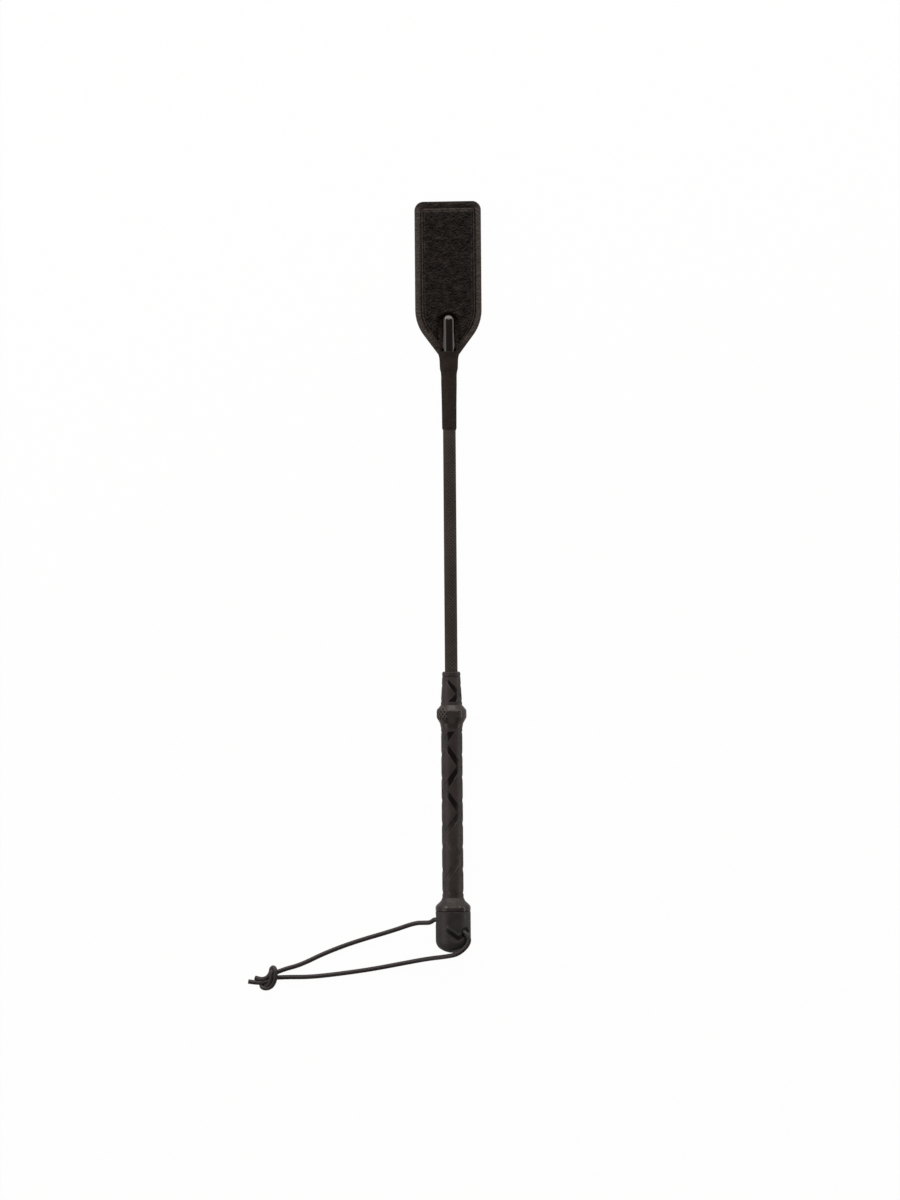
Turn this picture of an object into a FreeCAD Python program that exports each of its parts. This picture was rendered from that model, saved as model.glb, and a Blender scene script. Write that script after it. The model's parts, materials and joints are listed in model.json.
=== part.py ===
"""A riding crop lying on a flat surface, head towards +Y and wrist loop towards -X.

Millimetres, +Z up. The origin is on the surface, below the middle of the crop's length.
Every rigid piece is drawn on one straight shaft axis, which runs along +Y from the butt end, with +Z
towards the flap's front. lay_down() then sets it on the surface, where the crop rests on the rim of
its butt and on the back of its flap, so the shaft slopes a little down to the head. An azimuth is
in degrees round the shaft, from the front towards +X.
"""

import FreeCAD, Part
import math
import os

V = FreeCAD.Vector

# ---- fits ------------------------------------------------------------------------------------------
GLUE_LINE = 0.05          # radial room between pieces that are glued or pulled over each other
SOFT_GAP = 0.3            # room between a soft piece and what lies beside it

# ---- shaft -----------------------------------------------------------------------------------------
ROD_RADIUS = 3.9          # solid fibreglass rod
ROD_EASE = 0.8            # chamfer at its ends
COVER_WALL = 0.8          # braided cover over the rod
BARE_SHAFT = 180.5        # cover that shows between the nose cone and the binding

# ---- butt cap --------------------------------------------------------------------------------------
CAP_RADIUS = 13.1
CAP_HEIGHT = 31.2         # from the butt end to the seam below the grip's flare
CAP_SHOULDER = 9.3        # height at which the side goes over into the butt's dome
CAP_SHOULDER_ROUND = 7.5
CROWN_BANDS = 3           # cone bands that the dome's flat crown is turned from
SHOULDER_BANDS = 4        # and those of its round shoulder
CAP_EDGE = 0.5            # chamfer at the seam
STEP_CORNERS = [(-17.3, 16.8), (16.9, 11.0), (36.0, 13.0)]    # V-shaped step in the front: azimuth, height
STEP_DEPTH = 0.5          # at the ends of each arm; it is deeper between them
STEP_RUN = 2.2            # length over which the surface below the step comes up again
STEP_RUN_ON = 2.0         # how far each arm runs on under the other
SPIGOT_RADIUS = 6.0       # the cap's spigot, up inside the grip
SPIGOT_LENGTH = 17.0
ROD_SEAT = 4.2            # how far the rod's socket goes down below the seam

# ---- grip ------------------------------------------------------------------------------------------
GRIP_RADIUS = 7.95
GRIP_LENGTH = 136.3
FLARE_EDGE = 2.9          # height of the flare's rim above the seam
FLARE_STEPS = [(0.6, 1.5), (3.5, 3.3), (1.05, 2.4)]    # its slopes: inward, up

# ---- collar ----------------------------------------------------------------------------------------
COLLAR_RADIUS = 11.15
COLLAR_SHOULDER = 3.2     # height of the sloping top
COLLAR_EDGE = (0.45, 1.2)     # chamfer at the shoulder's edge: inward, down
COLLAR_BAND = 6.0         # height of the band below it
COLLAR_TAPER = 4.4        # height of the sloping underside
COLLAR_WAIST = 8.7        # radius where the underside meets the skirt
COLLAR_SKIRT = 3.7        # height of the skirt, which runs out on the grip

# ---- nose cone -------------------------------------------------------------------------------------
CONE_LENGTH = 25.0
CONE_LOW_RADIUS = 8.0
CONE_HIGH_RADIUS = 6.8
CONE_LIP = 3.6            # height of the rolled lip round the shaft
CONE_LIP_EDGE = 0.9       # chamfer at its top
CONE_LIP_GROOVE = 0.35

# ---- crossing channels in the grip and the nose cone -----------------------------------------------
CHANNEL_DEPTH = 0.35
CHANNEL_BEVEL = 0.5       # how much wider, at each side, a channel is at the surface than at its floor
CHANNEL_STARTS = 2        # channels of each hand
CROSSING_COLUMN = 45.0    # azimuth of one column of crossings
GRIP_LEAD = 68.7          # length in which a channel goes once round
GRIP_CHANNEL = 7.4        # a channel's height along the grip
GRIP_CROSSING = 28.2      # from the grip's upper end down to a crossing
CONE_LEAD = 50.8
CONE_CHANNEL = 5.4
CONE_CROSSING = 8.2       # from the cone's lower end up to a crossing
PLAIN_END = 2.5           # plain band at each end of the channels

# ---- tip cap and binding ---------------------------------------------------------------------------
TIP_RADIUS = 5.04
TIP_SHOWN = 28.2          # from the top of the binding to the top of the dome
TIP_HIDDEN = 34.4         # skirt under the binding
TIP_BANDS = 5             # cone bands that the dome is turned from
TIP_CROWN = 6.5           # solid plastic above the rod's end
BINDING_LENGTH = 58.2
BINDING_WALL = 0.8

# ---- leather flap ----------------------------------------------------------------------------------
FLAP_LENGTH = 112.0       # from the top of the binding to the flap's higher corner
FLAP_WIDTH = 49.7
FLAP_CORNER = 5.5
FLAP_SKEW = 1.6           # degrees by which the far edge is cut out of square
SHOULDER_ANGLE = 36.5     # degrees from the axis
SHOULDER_ROUND = 32.0
NECK_WIDTH = 18.6         # leather at the top of the binding
NECK_ROUND = 0.6
LEATHER = 2.0
PAD_UNDER_TIP = 0.6
FIELD_RAISE = 2.75        # how far the padded field stands above the stitched margin
FIELD_INSET = 5.2         # from the flap's edge to the foot of the field's slope
FIELD_SLOPE = 1.9         # width of that slope
SLOT_WIDTH = 16.4         # window round the tip cap
SLOT_END = 1.0            # room beyond the dome
SLOT_NECK = 10.9          # width of the window at the binding
SLOT_TAPER = 9.0          # length over which it narrows
TAIL_LENGTH = 14.2        # leather tails under the binding
TAIL_END_WALL = 0.8       # their skived end
TAIL_TOP_WALL = 1.9
TAIL_OPEN = 45.0          # azimuth, each side of the front, where the front tails end
TAIL_REACH = 2.5          # how far they run up into the flap
BEND_AT = 43.5            # from the top of the binding to the line where the flap flexes
BEND_LIMIT = 35.0         # degrees each way
BEND_RELIEF = 3.0         # spare degrees at each limit

# ---- wrist cord ------------------------------------------------------------------------------------
CORD_RADIUS = 1.6
CORD_SIDES = 12           # flats of the plain tube that stands for the cord
BORE_RADIUS = 2.1
MOUTH_DEPTH = 1.6         # countersunk mouths of the cord's bore
MOUTH_FLOOR = 2.7         # their radius at the floor
LEFT_MOUTH = (-82.0, 25.2)    # azimuth, distance from the butt end
LEFT_MOUTH_RADIUS = 6.0       # at the surface
RIGHT_MOUTH = (45.0, 15.5)
RIGHT_MOUTH_RADIUS = 4.5
BORE_STRETCH = 4.6        # from each mouth in to the end of the cord's stretch inside the bore
ARC_SHARE = 0.45          # share of the shorter run that a bend takes up
FLOOR_CORD = CORD_RADIUS + 0.02   # height of a cord's middle where it lies on the surface
LEFT_ROUTE = [            # corners of the cord's left leg, from beside its mouth to the knot
    (-16.4, -258.3, 12.4),
    (-26.6, -258.8, 8.6),
    (-45.0, -264.2, 2.6),
    (-73.9, -272.4, FLOOR_CORD),
    (-96.5, -280.7, FLOOR_CORD),
    (-114.7, -289.5, FLOOR_CORD),
    (-128.0, -292.8, FLOOR_CORD),
    (-138.0, -296.8, 4.4),
]
RIGHT_ROUTE = [           # corners of its right leg, round the butt's dome to the knot
    (10.9, -272.6, 25.6),
    (4.2, -280.2, 24.6),
    (-5.6, -282.6, 19.0),
    (-18.9, -284.9, 8.0),
    (-36.9, -288.6, 2.2),
    (-60.8, -293.0, FLOOR_CORD),
    (-87.7, -296.6, FLOOR_CORD),
    (-108.6, -298.6, FLOOR_CORD),
    (-124.2, -298.4, FLOOR_CORD),
    (-137.5, -300.4, 4.4),
]
KNOT_RADIUS = 4.6
KNOT_EDGE = 2.2
KNOT_ENDS = [(-134.6, -291.4, KNOT_RADIUS), (-139.8, -309.8, KNOT_RADIUS)]
SHORT_END = [(-137.5, -301.2, KNOT_RADIUS), (-148.3, -300.1, FLOOR_CORD)]   # from inside the knot
LONG_END = [(-138.6, -305.6, KNOT_RADIUS), (-154.0, -303.4, FLOOR_CORD)]

# ---- lengths along the shaft -----------------------------------------------------------------------
spigot_top = CAP_HEIGHT + SPIGOT_LENGTH
grip_top = CAP_HEIGHT + GRIP_LENGTH
collar_top = grip_top + COLLAR_SKIRT + COLLAR_TAPER + COLLAR_BAND + COLLAR_SHOULDER
cone_top = collar_top + CONE_LENGTH
binding_low = cone_top + BARE_SHAFT
binding_top = binding_low + BINDING_LENGTH
tip_low = binding_top - TIP_HIDDEN
tip_top = binding_top + TIP_SHOWN
tail_low = binding_top - TAIL_LENGTH
rod_low = CAP_HEIGHT - ROD_SEAT
rod_top = tip_top - TIP_CROWN
flap_low = binding_top + SOFT_GAP
flap_top = binding_top + FLAP_LENGTH
bend_at = binding_top + BEND_AT

cover_radius = ROD_RADIUS + GLUE_LINE + COVER_WALL
sleeve_bore = cover_radius + GLUE_LINE
rod_bore = ROD_RADIUS + GLUE_LINE
skirt_radius = TIP_RADIUS + GLUE_LINE

# ---- heights in the flap, from the shaft axis ------------------------------------------------------
flap_back = -(TIP_RADIUS + SOFT_GAP + PAD_UNDER_TIP + LEATHER)
half_thickness = LEATHER + FIELD_RAISE
flap_middle = flap_back + half_thickness

# ---- how it lies -----------------------------------------------------------------------------------
rim_at = CAP_HEIGHT + FLARE_EDGE
seat_at = (binding_top + tip_top) / 2
seat_run = seat_at - rim_at
rest_slope = math.atan2(CAP_RADIUS, seat_run) - math.asin(-flap_back / math.hypot(seat_run, CAP_RADIUS))
origin_y = flap_top / 2


# ---- drawing helpers -------------------------------------------------------------------------------
def rounded_wire(corners):
    """A closed wire in the XY plane through (x, y, radius) corners, each rounded to its radius."""
    places = [V(x, y, 0) for x, y, radius in corners]
    ends, arcs = [], []
    for i, here in enumerate(places):
        back = (places[i - 1] - here).normalize()
        on = (places[(i + 1) % len(places)] - here).normalize()
        half, radius = back.getAngle(on) / 2, corners[i][2]
        reach = radius / math.tan(half) if radius else 0
        enter, leave = here + back * reach, here + on * reach
        if radius:
            middle = here + (back + on).normalize() * (radius / math.sin(half) - radius)
            arcs.append(Part.Arc(enter, middle, leave).toShape())
        else:
            arcs.append(None)
        ends.append((enter, leave))
    edges = []
    for i, arc in enumerate(arcs):
        start, end = ends[i - 1][1], ends[i][0]
        if start.distanceToPoint(end) > 1e-6:
            edges.append(Part.LineSegment(start, end).toShape())
        if arc:
            edges.append(arc)
    return Part.Wire(edges)


def arc_corners(x, y, radius, low, high, bands):
    """Corners on an arc about (x, y), evenly spaced between two angles in degrees from +X."""
    turns = [math.radians(low + (high - low) * i / bands) for i in range(bands + 1)]
    return [(x + radius * math.cos(turn), y + radius * math.sin(turn), 0) for turn in turns]


def domed(low, high, radius):
    """The outline of a rod on the shaft axis, with a half-round dome at its upper end."""
    dome = arc_corners(0, high - radius, radius, 0, 90, TIP_BANDS)
    return rounded_wire([(0, low, 0), (radius, low, 0), *dome[:-1], (0, high, 0)])


def inset(corners, distance):
    """The corners of a convex outline, moved in from its sides."""
    moved = []
    for i, (x, y, radius) in enumerate(corners):
        here = V(x, y, 0)
        back = (V(*corners[i - 1][:2], 0) - here).normalize()
        on = (V(*corners[(i + 1) % len(corners)][:2], 0) - here).normalize()
        place = here + (back + on).normalize() * (distance / math.sin(back.getAngle(on) / 2))
        moved.append((place.x, place.y, max(radius - distance, NECK_ROUND)))
    return moved


def turned(wire, start=90.0, sweep=360.0):
    """The solid that a wire in the XY plane makes as it turns about the shaft, from one azimuth on."""
    face = Part.Face(wire)
    face.rotate(V(0, 0, 0), V(0, 1, 0), start - 90)
    return face.revolve(V(0, 0, 0), V(0, 1, 0), sweep)


def cylinder(radius, low, high):
    """A cylinder on the shaft axis."""
    return Part.makeCylinder(radius, high - low, V(0, low, 0), V(0, 1, 0))


def at_azimuth(shape, azimuth, along=0.0):
    """A copy of a shape drawn at the front, turned to an azimuth and moved along the shaft."""
    shape = shape.copy()
    shape.rotate(V(0, 0, 0), V(0, 1, 0), azimuth)
    shape.translate(V(0, along, 0))
    return shape


def lay_down(shape):
    """A piece drawn on the shaft axis, as it lies on the surface."""
    shape = shape.copy()
    shape.rotate(V(0, 0, 0), V(1, 0, 0), -math.degrees(rest_slope))
    shape.translate(V(0, -origin_y, seat_at * math.sin(rest_slope) - flap_back))
    return shape


def lay_flat(shape):
    """A piece of the flap, which lies level on its back."""
    shape = shape.copy()
    shape.translate(V(0, seat_at * (math.cos(rest_slope) - 1) - origin_y, -flap_back))
    return shape


# ---- shaft -----------------------------------------------------------------------------------------
def shaft_rod():
    """The fibreglass rod, with its two ends eased."""
    return turned(rounded_wire([
        (0, rod_low, 0),
        (ROD_RADIUS - ROD_EASE, rod_low, 0),
        (ROD_RADIUS, rod_low + ROD_EASE, 0),
        (ROD_RADIUS, rod_top - ROD_EASE, 0),
        (ROD_RADIUS - ROD_EASE, rod_top, 0),
        (0, rod_top, 0),
    ]))


def shaft_cover():
    """The braided cover, from the cap's spigot to the tip cap's skirt."""
    return cylinder(cover_radius, spigot_top, tip_low).cut(cylinder(rod_bore, spigot_top, tip_low))


def tip_cap():
    """The glossy cap on the rod's end, with a domed top."""
    outside = turned(domed(tip_low, tip_top, TIP_RADIUS))
    return outside.cut(cylinder(rod_bore, tip_low, rod_top))


def neck_binding():
    """The thread binding, stepped over the shaft's cover, the tip cap's skirt and the leather tails."""
    under = [
        (cover_radius, binding_low),
        (cover_radius, tip_low),
        (TIP_RADIUS, tip_low),
        (TIP_RADIUS, tail_low),
        (skirt_radius + TAIL_END_WALL, tail_low),
        (skirt_radius + TAIL_TOP_WALL, binding_top),
    ]
    inside = [(r + GLUE_LINE, y, 0) for r, y in under]
    outside = [(r + GLUE_LINE + BINDING_WALL, y, 0) for r, y in under]
    return turned(rounded_wire(inside + outside[::-1]))


# ---- handle ----------------------------------------------------------------------------------------
def on_cap(azimuth, along):
    """A point of the cap's side."""
    turn = math.radians(azimuth)
    return V(CAP_RADIUS * math.sin(turn), along, CAP_RADIUS * math.cos(turn))


def step_cuts():
    """Wedges that sink the cap's side below its V-shaped step."""
    corners = [on_cap(*corner) for corner in STEP_CORNERS]
    rise = 2 * STEP_RUN
    fade = STEP_RUN * (STEP_DEPTH + rise) / STEP_DEPTH
    wedges = []
    for i, (start, end) in enumerate(zip(corners, corners[1:])):
        out = V(start.x + end.x, 0, start.z + end.z).normalize()
        along = (end - start).normalize()
        down = along.cross(out)
        first = start - along * (STEP_RUN_ON if i else 0)
        section = Part.makePolygon([
            first - out * STEP_DEPTH,
            first + out * rise,
            first + out * rise + down * fade,
            first - out * STEP_DEPTH,
        ])
        length = start.distanceToPoint(end) + STEP_RUN_ON
        wedges.append(Part.Face(section).extrude(along * length))
    return wedges


def butt_cap():
    """The mushroom cap: domed butt, spigot up into the grip, and the slanting bore of the wrist cord."""
    shoulder_x = CAP_RADIUS - CAP_SHOULDER_ROUND
    room = CAP_SHOULDER - CAP_SHOULDER_ROUND
    crown = (shoulder_x**2 + CAP_SHOULDER**2 - CAP_SHOULDER_ROUND**2) / (2 * room)
    tilt = math.degrees(math.atan2(shoulder_x, crown - CAP_SHOULDER)) - 90
    cap = turned(rounded_wire([
        (0, 0, 0),
        *arc_corners(0, crown, crown, -90, tilt, CROWN_BANDS)[1:-1],
        *arc_corners(shoulder_x, CAP_SHOULDER, CAP_SHOULDER_ROUND, tilt, 0, SHOULDER_BANDS),
        (CAP_RADIUS, CAP_HEIGHT - CAP_EDGE, 0),
        (CAP_RADIUS - CAP_EDGE, CAP_HEIGHT, 0),
        (SPIGOT_RADIUS, CAP_HEIGHT, 0),
        (SPIGOT_RADIUS, spigot_top, 0),
        (rod_bore, spigot_top, 0),
        (rod_bore, rod_low, 0),
        (0, rod_low, 0),
    ]))
    left, right = on_cap(*LEFT_MOUTH), on_cap(*RIGHT_MOUTH)
    along = (right - left).normalize()
    run_out = 2 * MOUTH_DEPTH
    cap = cap.cut(Part.makeCylinder(
        BORE_RADIUS, left.distanceToPoint(right) + 2 * run_out, left - along * run_out, along
    ))
    for mouth, radius in ((left, LEFT_MOUTH_RADIUS), (right, RIGHT_MOUTH_RADIUS)):
        out = V(mouth.x, 0, mouth.z).normalize()
        wide = 2 * radius - MOUTH_FLOOR
        cap = cap.cut(Part.makeCone(MOUTH_FLOOR, wide, 2 * MOUTH_DEPTH, mouth - out * MOUTH_DEPTH, out))
    return cap.cut(step_cuts())


def helical_band(radius, reach, lead, height, hand):
    """A half-turn band between two channels of one hand, its middle at the front at distance 0."""
    path = Part.makeHelix(lead, lead / 2, radius, 0)
    flare = CHANNEL_BEVEL * reach / CHANNEL_DEPTH
    section = Part.makePolygon([
        V(radius - reach, 0, -height / 2 - flare),
        V(radius + reach, 0, -height / 2 + flare),
        V(radius + reach, 0, height / 2 - flare),
        V(radius - reach, 0, height / 2 + flare),
        V(radius - reach, 0, -height / 2 - flare),
    ])
    band = Part.Wire(path.Edges).makePipeShell([section], True, True)
    if hand < 0:
        band = band.mirror(V(0, 0, 0), V(0, 1, 0))
    band.rotate(V(0, 0, 0), V(1, 0, 0), -90)
    return at_azimuth(band, -90 - 90 * hand, -lead / 4)


def lands(skin, radius, reach, lead, channel, crossing, low, high):
    """The diamonds that the crossing channels leave standing in a thin skin between two heights."""
    pitch = lead / CHANNEL_STARTS
    bands = [helical_band(radius, reach, lead, pitch - channel, hand) for hand in (1, -1)]
    first = math.floor((low - crossing) / (pitch / 2)) - 1
    last = math.ceil((high - crossing) / (pitch / 2)) + 1
    found = []
    for step in range(first, last + 1):
        along = crossing + step * pitch / 2
        if not low - pitch / 2 < along < high + pitch / 2:
            continue
        column = CROSSING_COLUMN + (step + 1) % 2 * 180 / CHANNEL_STARTS
        for start in range(CHANNEL_STARTS):
            azimuth = column + start * 360 / CHANNEL_STARTS
            land = skin
            for band in bands:
                land = land.common(at_azimuth(band, azimuth, along))
            found += land.Solids
    return found


def grip_sleeve():
    """The moulded grip, which flares over the cap; crossing channels leave raised diamonds."""
    radius, height = CAP_RADIUS, CAP_HEIGHT + FLARE_EDGE
    side = [(radius, height, 0)]
    for inward, up in FLARE_STEPS:
        radius -= inward
        height += up
        side.append((radius, height, 0))
    body = turned(rounded_wire([
        (SPIGOT_RADIUS + GLUE_LINE, CAP_HEIGHT, 0),
        (CAP_RADIUS - CAP_EDGE, CAP_HEIGHT, 0),
        (CAP_RADIUS, CAP_HEIGHT + CAP_EDGE, 0),
        *side,
        (GRIP_RADIUS, grip_top, 0),
        (sleeve_bore, grip_top, 0),
        (sleeve_bore, spigot_top, 0),
        (SPIGOT_RADIUS + GLUE_LINE, spigot_top, 0),
    ]))
    low = height + PLAIN_END
    high = grip_top - PLAIN_END
    skin = cylinder(GRIP_RADIUS, low, high).cut(cylinder(GRIP_RADIUS - CHANNEL_DEPTH, low, high))
    crossing = grip_top - GRIP_CROSSING
    raised = lands(skin, GRIP_RADIUS, 2 * CHANNEL_DEPTH, GRIP_LEAD, GRIP_CHANNEL, crossing, low, high)
    return body.cut(skin).multiFuse(raised)


def collar_ring():
    """The ring that stops the hand, with a short skirt down to the grip."""
    waist = grip_top + COLLAR_SKIRT
    band_low = waist + COLLAR_TAPER
    return turned(rounded_wire([
        (sleeve_bore, grip_top, 0),
        (GRIP_RADIUS, grip_top, 0),
        (COLLAR_WAIST, waist, 0),
        (COLLAR_RADIUS, band_low, 0),
        (COLLAR_RADIUS, band_low + COLLAR_BAND - COLLAR_EDGE[1], 0),
        (COLLAR_RADIUS - COLLAR_EDGE[0], band_low + COLLAR_BAND, 0),
        (CONE_LOW_RADIUS, collar_top, 0),
        (sleeve_bore, collar_top, 0),
    ]))


def nose_cone():
    """The tapered nose of the handle, with a rolled lip round the shaft and the grip's channels."""
    lip_low = cone_top - CONE_LIP
    groove = CONE_LIP_GROOVE
    body = turned(rounded_wire([
        (sleeve_bore, collar_top, 0),
        (CONE_LOW_RADIUS, collar_top, 0),
        (CONE_HIGH_RADIUS, lip_low - groove, 0),
        (CONE_HIGH_RADIUS - groove, lip_low, 0),
        (CONE_HIGH_RADIUS, lip_low + groove, 0),
        (CONE_HIGH_RADIUS, cone_top - CONE_LIP_EDGE, 0),
        (CONE_HIGH_RADIUS - CONE_LIP_EDGE, cone_top, 0),
        (sleeve_bore, cone_top, 0),
    ]))
    fall = (CONE_LOW_RADIUS - CONE_HIGH_RADIUS) / (lip_low - groove - collar_top)
    low, high = collar_top + PLAIN_END, lip_low - groove - PLAIN_END
    wide = CONE_LOW_RADIUS - fall * (low - collar_top)
    narrow = CONE_LOW_RADIUS - fall * (high - collar_top)
    outer = Part.makeCone(wide, narrow, high - low, V(0, low, 0), V(0, 1, 0))
    inner = Part.makeCone(
        wide - CHANNEL_DEPTH, narrow - CHANNEL_DEPTH, high - low, V(0, low, 0), V(0, 1, 0)
    )
    skin = outer.cut(inner)
    middle, reach = (wide + narrow) / 2, (wide - narrow) / 2 + 2 * CHANNEL_DEPTH
    crossing = collar_top + CONE_CROSSING
    raised = lands(skin, middle, reach, CONE_LEAD, CONE_CHANNEL, crossing, low, high)
    return body.cut(skin).multiFuse(raised)


# ---- flap ------------------------------------------------------------------------------------------
def flap_corners():
    """The flap's outline: parallel sides, rounded shoulders and a neck at the binding."""
    side, neck = FLAP_WIDTH / 2, NECK_WIDTH / 2
    shoulder = flap_low + (side - neck) / math.tan(math.radians(SHOULDER_ANGLE))
    fall = FLAP_WIDTH * math.tan(math.radians(FLAP_SKEW))
    return [
        (neck, flap_low, NECK_ROUND),
        (side, shoulder, SHOULDER_ROUND),
        (side, flap_top, FLAP_CORNER),
        (-side, flap_top - fall, FLAP_CORNER),
        (-side, shoulder, SHOULDER_ROUND),
        (-neck, flap_low, NECK_ROUND),
    ]


def outline_at(distance, height):
    """The flap's outline, moved in by a distance, at a height from its middle plane."""
    wire = rounded_wire(inset(flap_corners(), distance) if distance else flap_corners())
    wire.translate(V(0, 0, flap_middle + height))
    return wire


def field(distance, low, high):
    """The padded field's block, whose sides slope in from one height to the next."""
    return Part.makeLoft([outline_at(distance, low), outline_at(distance + FIELD_SLOPE, high)], True, True)


def panel(side):
    """The front (side 1) or back (side -1) leather: a flat margin and a field dished over the pad."""
    margin = Part.Face(outline_at(0, 0)).extrude(V(0, 0, side * LEATHER))
    raised = field(FIELD_INSET, side * LEATHER, side * half_thickness)
    hollow = field(FIELD_INSET + LEATHER, 0, side * FIELD_RAISE)
    return margin.fuse(raised).cut(hollow)


def pad():
    """The felt pad that fills the hollow between the two leathers."""
    foot = FIELD_INSET + LEATHER + SOFT_GAP
    thick = FIELD_RAISE - GLUE_LINE
    return field(foot, 0, thick).fuse(field(foot, 0, -thick))


def tip_window():
    """The window in the front leather and the pad, round the tip cap and open at the binding."""
    wide, narrow = SLOT_WIDTH / 2, SLOT_NECK / 2
    wire = rounded_wire([
        (narrow, tail_low, 0),
        (narrow, flap_low, 0),
        (wide, flap_low + SLOT_TAPER, 0),
        (wide, tip_top + SLOT_END, wide - GLUE_LINE),
        (-wide, tip_top + SLOT_END, wide - GLUE_LINE),
        (-wide, flap_low + SLOT_TAPER, 0),
        (-narrow, flap_low, 0),
        (-narrow, tail_low, 0),
    ])
    floor = flap_back + LEATHER + PAD_UNDER_TIP
    wire.translate(V(0, 0, floor))
    return Part.Face(wire).extrude(V(0, 0, 2 * half_thickness))


def tip_room():
    """The tip cap with the room that the soft pieces leave round it."""
    return turned(domed(tip_low, tip_top + SOFT_GAP, TIP_RADIUS + SOFT_GAP))


def tails(side):
    """The skived leather tails that run from a panel down under the binding."""
    ring = lay_down(turned(rounded_wire([
        (skirt_radius, tail_low, 0),
        (skirt_radius + TAIL_END_WALL, tail_low, 0),
        (skirt_radius + TAIL_TOP_WALL, binding_top, 0),
        (skirt_radius + TAIL_TOP_WALL, binding_top + TAIL_REACH, 0),
        (skirt_radius, binding_top + TAIL_REACH, 0),
    ]), TAIL_OPEN, 360 - 2 * TAIL_OPEN))
    box = ring.BoundBox
    room = Part.makeBox(
        FLAP_WIDTH, box.YLength, box.ZLength,
        V(-FLAP_WIDTH / 2, box.YMin, half_thickness - (0 if side > 0 else box.ZLength)),
    )
    return ring.common(room).Solids


def bend_barrel(radius):
    """A barrel along the line where the flap flexes."""
    return Part.makeCylinder(radius, 2 * FLAP_WIDTH, V(-FLAP_WIDTH, bend_at, flap_middle), V(1, 0, 0))


def root_side():
    """The space of the flap's root: all below the bend line, and a round end beyond it."""
    block = Part.makeBox(
        2 * FLAP_WIDTH, bend_at - tail_low, 4 * half_thickness,
        V(-FLAP_WIDTH, tail_low, flap_middle - 2 * half_thickness),
    )
    return block.fuse(bend_barrel(half_thickness - SOFT_GAP / 2))


def blade_side():
    """The space of the flap's blade: a wedge that clears the root at both limits of the bend."""
    open_angle = math.radians(90 - BEND_LIMIT - BEND_RELIEF)
    reach = 2 * FLAP_LENGTH
    rise = reach * math.tan(open_angle)
    wedge = Part.Face(Part.makePolygon([
        V(-FLAP_WIDTH, bend_at, flap_middle),
        V(-FLAP_WIDTH, bend_at + reach, flap_middle - rise),
        V(-FLAP_WIDTH, bend_at + reach, flap_middle + rise),
        V(-FLAP_WIDTH, bend_at, flap_middle),
    ])).extrude(V(2 * FLAP_WIDTH, 0, 0))
    return wedge.cut(bend_barrel(half_thickness + SOFT_GAP / 2))


def panel_root(side):
    """The part of a leather panel round the tip cap, with its tails under the binding."""
    root = panel(side).common(root_side())
    if side > 0:
        root = root.cut(tip_window())
    return lay_flat(root).cut(lay_down(tip_room())).multiFuse(tails(side))


def panel_blade(side):
    """The part of a leather panel beyond the bend line."""
    return lay_flat(panel(side).common(blade_side()))


def pad_root():
    """The pad's lower part, grooved for the tip cap."""
    return lay_flat(pad().common(root_side()).cut(tip_window())).cut(lay_down(tip_room()))


def pad_blade():
    """The pad beyond the bend line."""
    return lay_flat(pad().common(blade_side()))


# ---- wrist cord ------------------------------------------------------------------------------------
def mouth_place(mouth, outward):
    """A point on the bore's axis as the crop lies, so far outside a mouth (inside, if negative)."""
    here = lay_down(Part.Vertex(on_cap(*mouth))).Point
    other = lay_down(Part.Vertex(on_cap(*(RIGHT_MOUTH if mouth == LEFT_MOUTH else LEFT_MOUTH)))).Point
    return here + (here - other).normalize() * outward


def cord_path(points):
    """Straight runs joined by tangent arcs, each as large as its two runs allow."""
    runs = [b - a for a, b in zip(points, points[1:])]
    edges, start = [], points[0]
    for corner, run_in, run_out in zip(points[1:], runs, runs[1:]):
        half = run_in.getAngle(run_out) / 2
        reach = ARC_SHARE * min(run_in.Length, run_out.Length)
        radius = reach / math.tan(half)
        print(f"  arc radius {radius:6.1f}, turn {math.degrees(2 * half):4.0f}, run {run_in.Length:5.1f}")
        back, on = run_in.normalize() * -1, V(run_out).normalize()
        enter, leave = corner + back * reach, corner + on * reach
        middle = corner + (back + on).normalize() * (radius / math.cos(half) - radius)
        edges.append(Part.LineSegment(start, enter).toShape())
        edges.append(Part.Arc(enter, middle, leave).toShape())
        start = leave
    edges.append(Part.LineSegment(start, points[-1]).toShape())
    return Part.Wire(edges)


def cord_section(middle, along):
    """The cord's outline round a point: a regular polygon, whose few flats keep the long tube light."""
    across = along.cross(V(0, 0, 1)).normalize() * CORD_RADIUS
    over = across.cross(along)
    turns = [2 * math.pi * i / CORD_SIDES for i in range(CORD_SIDES)]
    corners = [middle + across * math.cos(turn) + over * math.sin(turn) for turn in turns]
    return Part.makePolygon(corners + corners[:1])


def cord_tube(points):
    """A cord along a route."""
    path = cord_path([V(*p) for p in points])
    section = cord_section(V(*points[0]), (V(*points[1]) - V(*points[0])).normalize())
    tube = path.makePipeShell([section], True, True)
    share = tube.Volume / (Part.Face(section).Area * path.Length)
    print(f"  cord length {path.Length:.1f}, volume over section times length {share:.4f}")
    return tube


def wrist_cord_bore():
    """The cord's stretch inside the cap."""
    start, end = mouth_place(LEFT_MOUTH, -BORE_STRETCH), mouth_place(RIGHT_MOUTH, -BORE_STRETCH)
    return Part.makeCylinder(CORD_RADIUS, start.distanceToPoint(end), start, end - start)


def wrist_cord_left():
    """The leg that leaves the cap beside the surface."""
    ends = [mouth_place(LEFT_MOUTH, -BORE_STRETCH), mouth_place(LEFT_MOUTH, 0.6)]
    return cord_tube(ends + LEFT_ROUTE).cut(wrist_knot())


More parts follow.
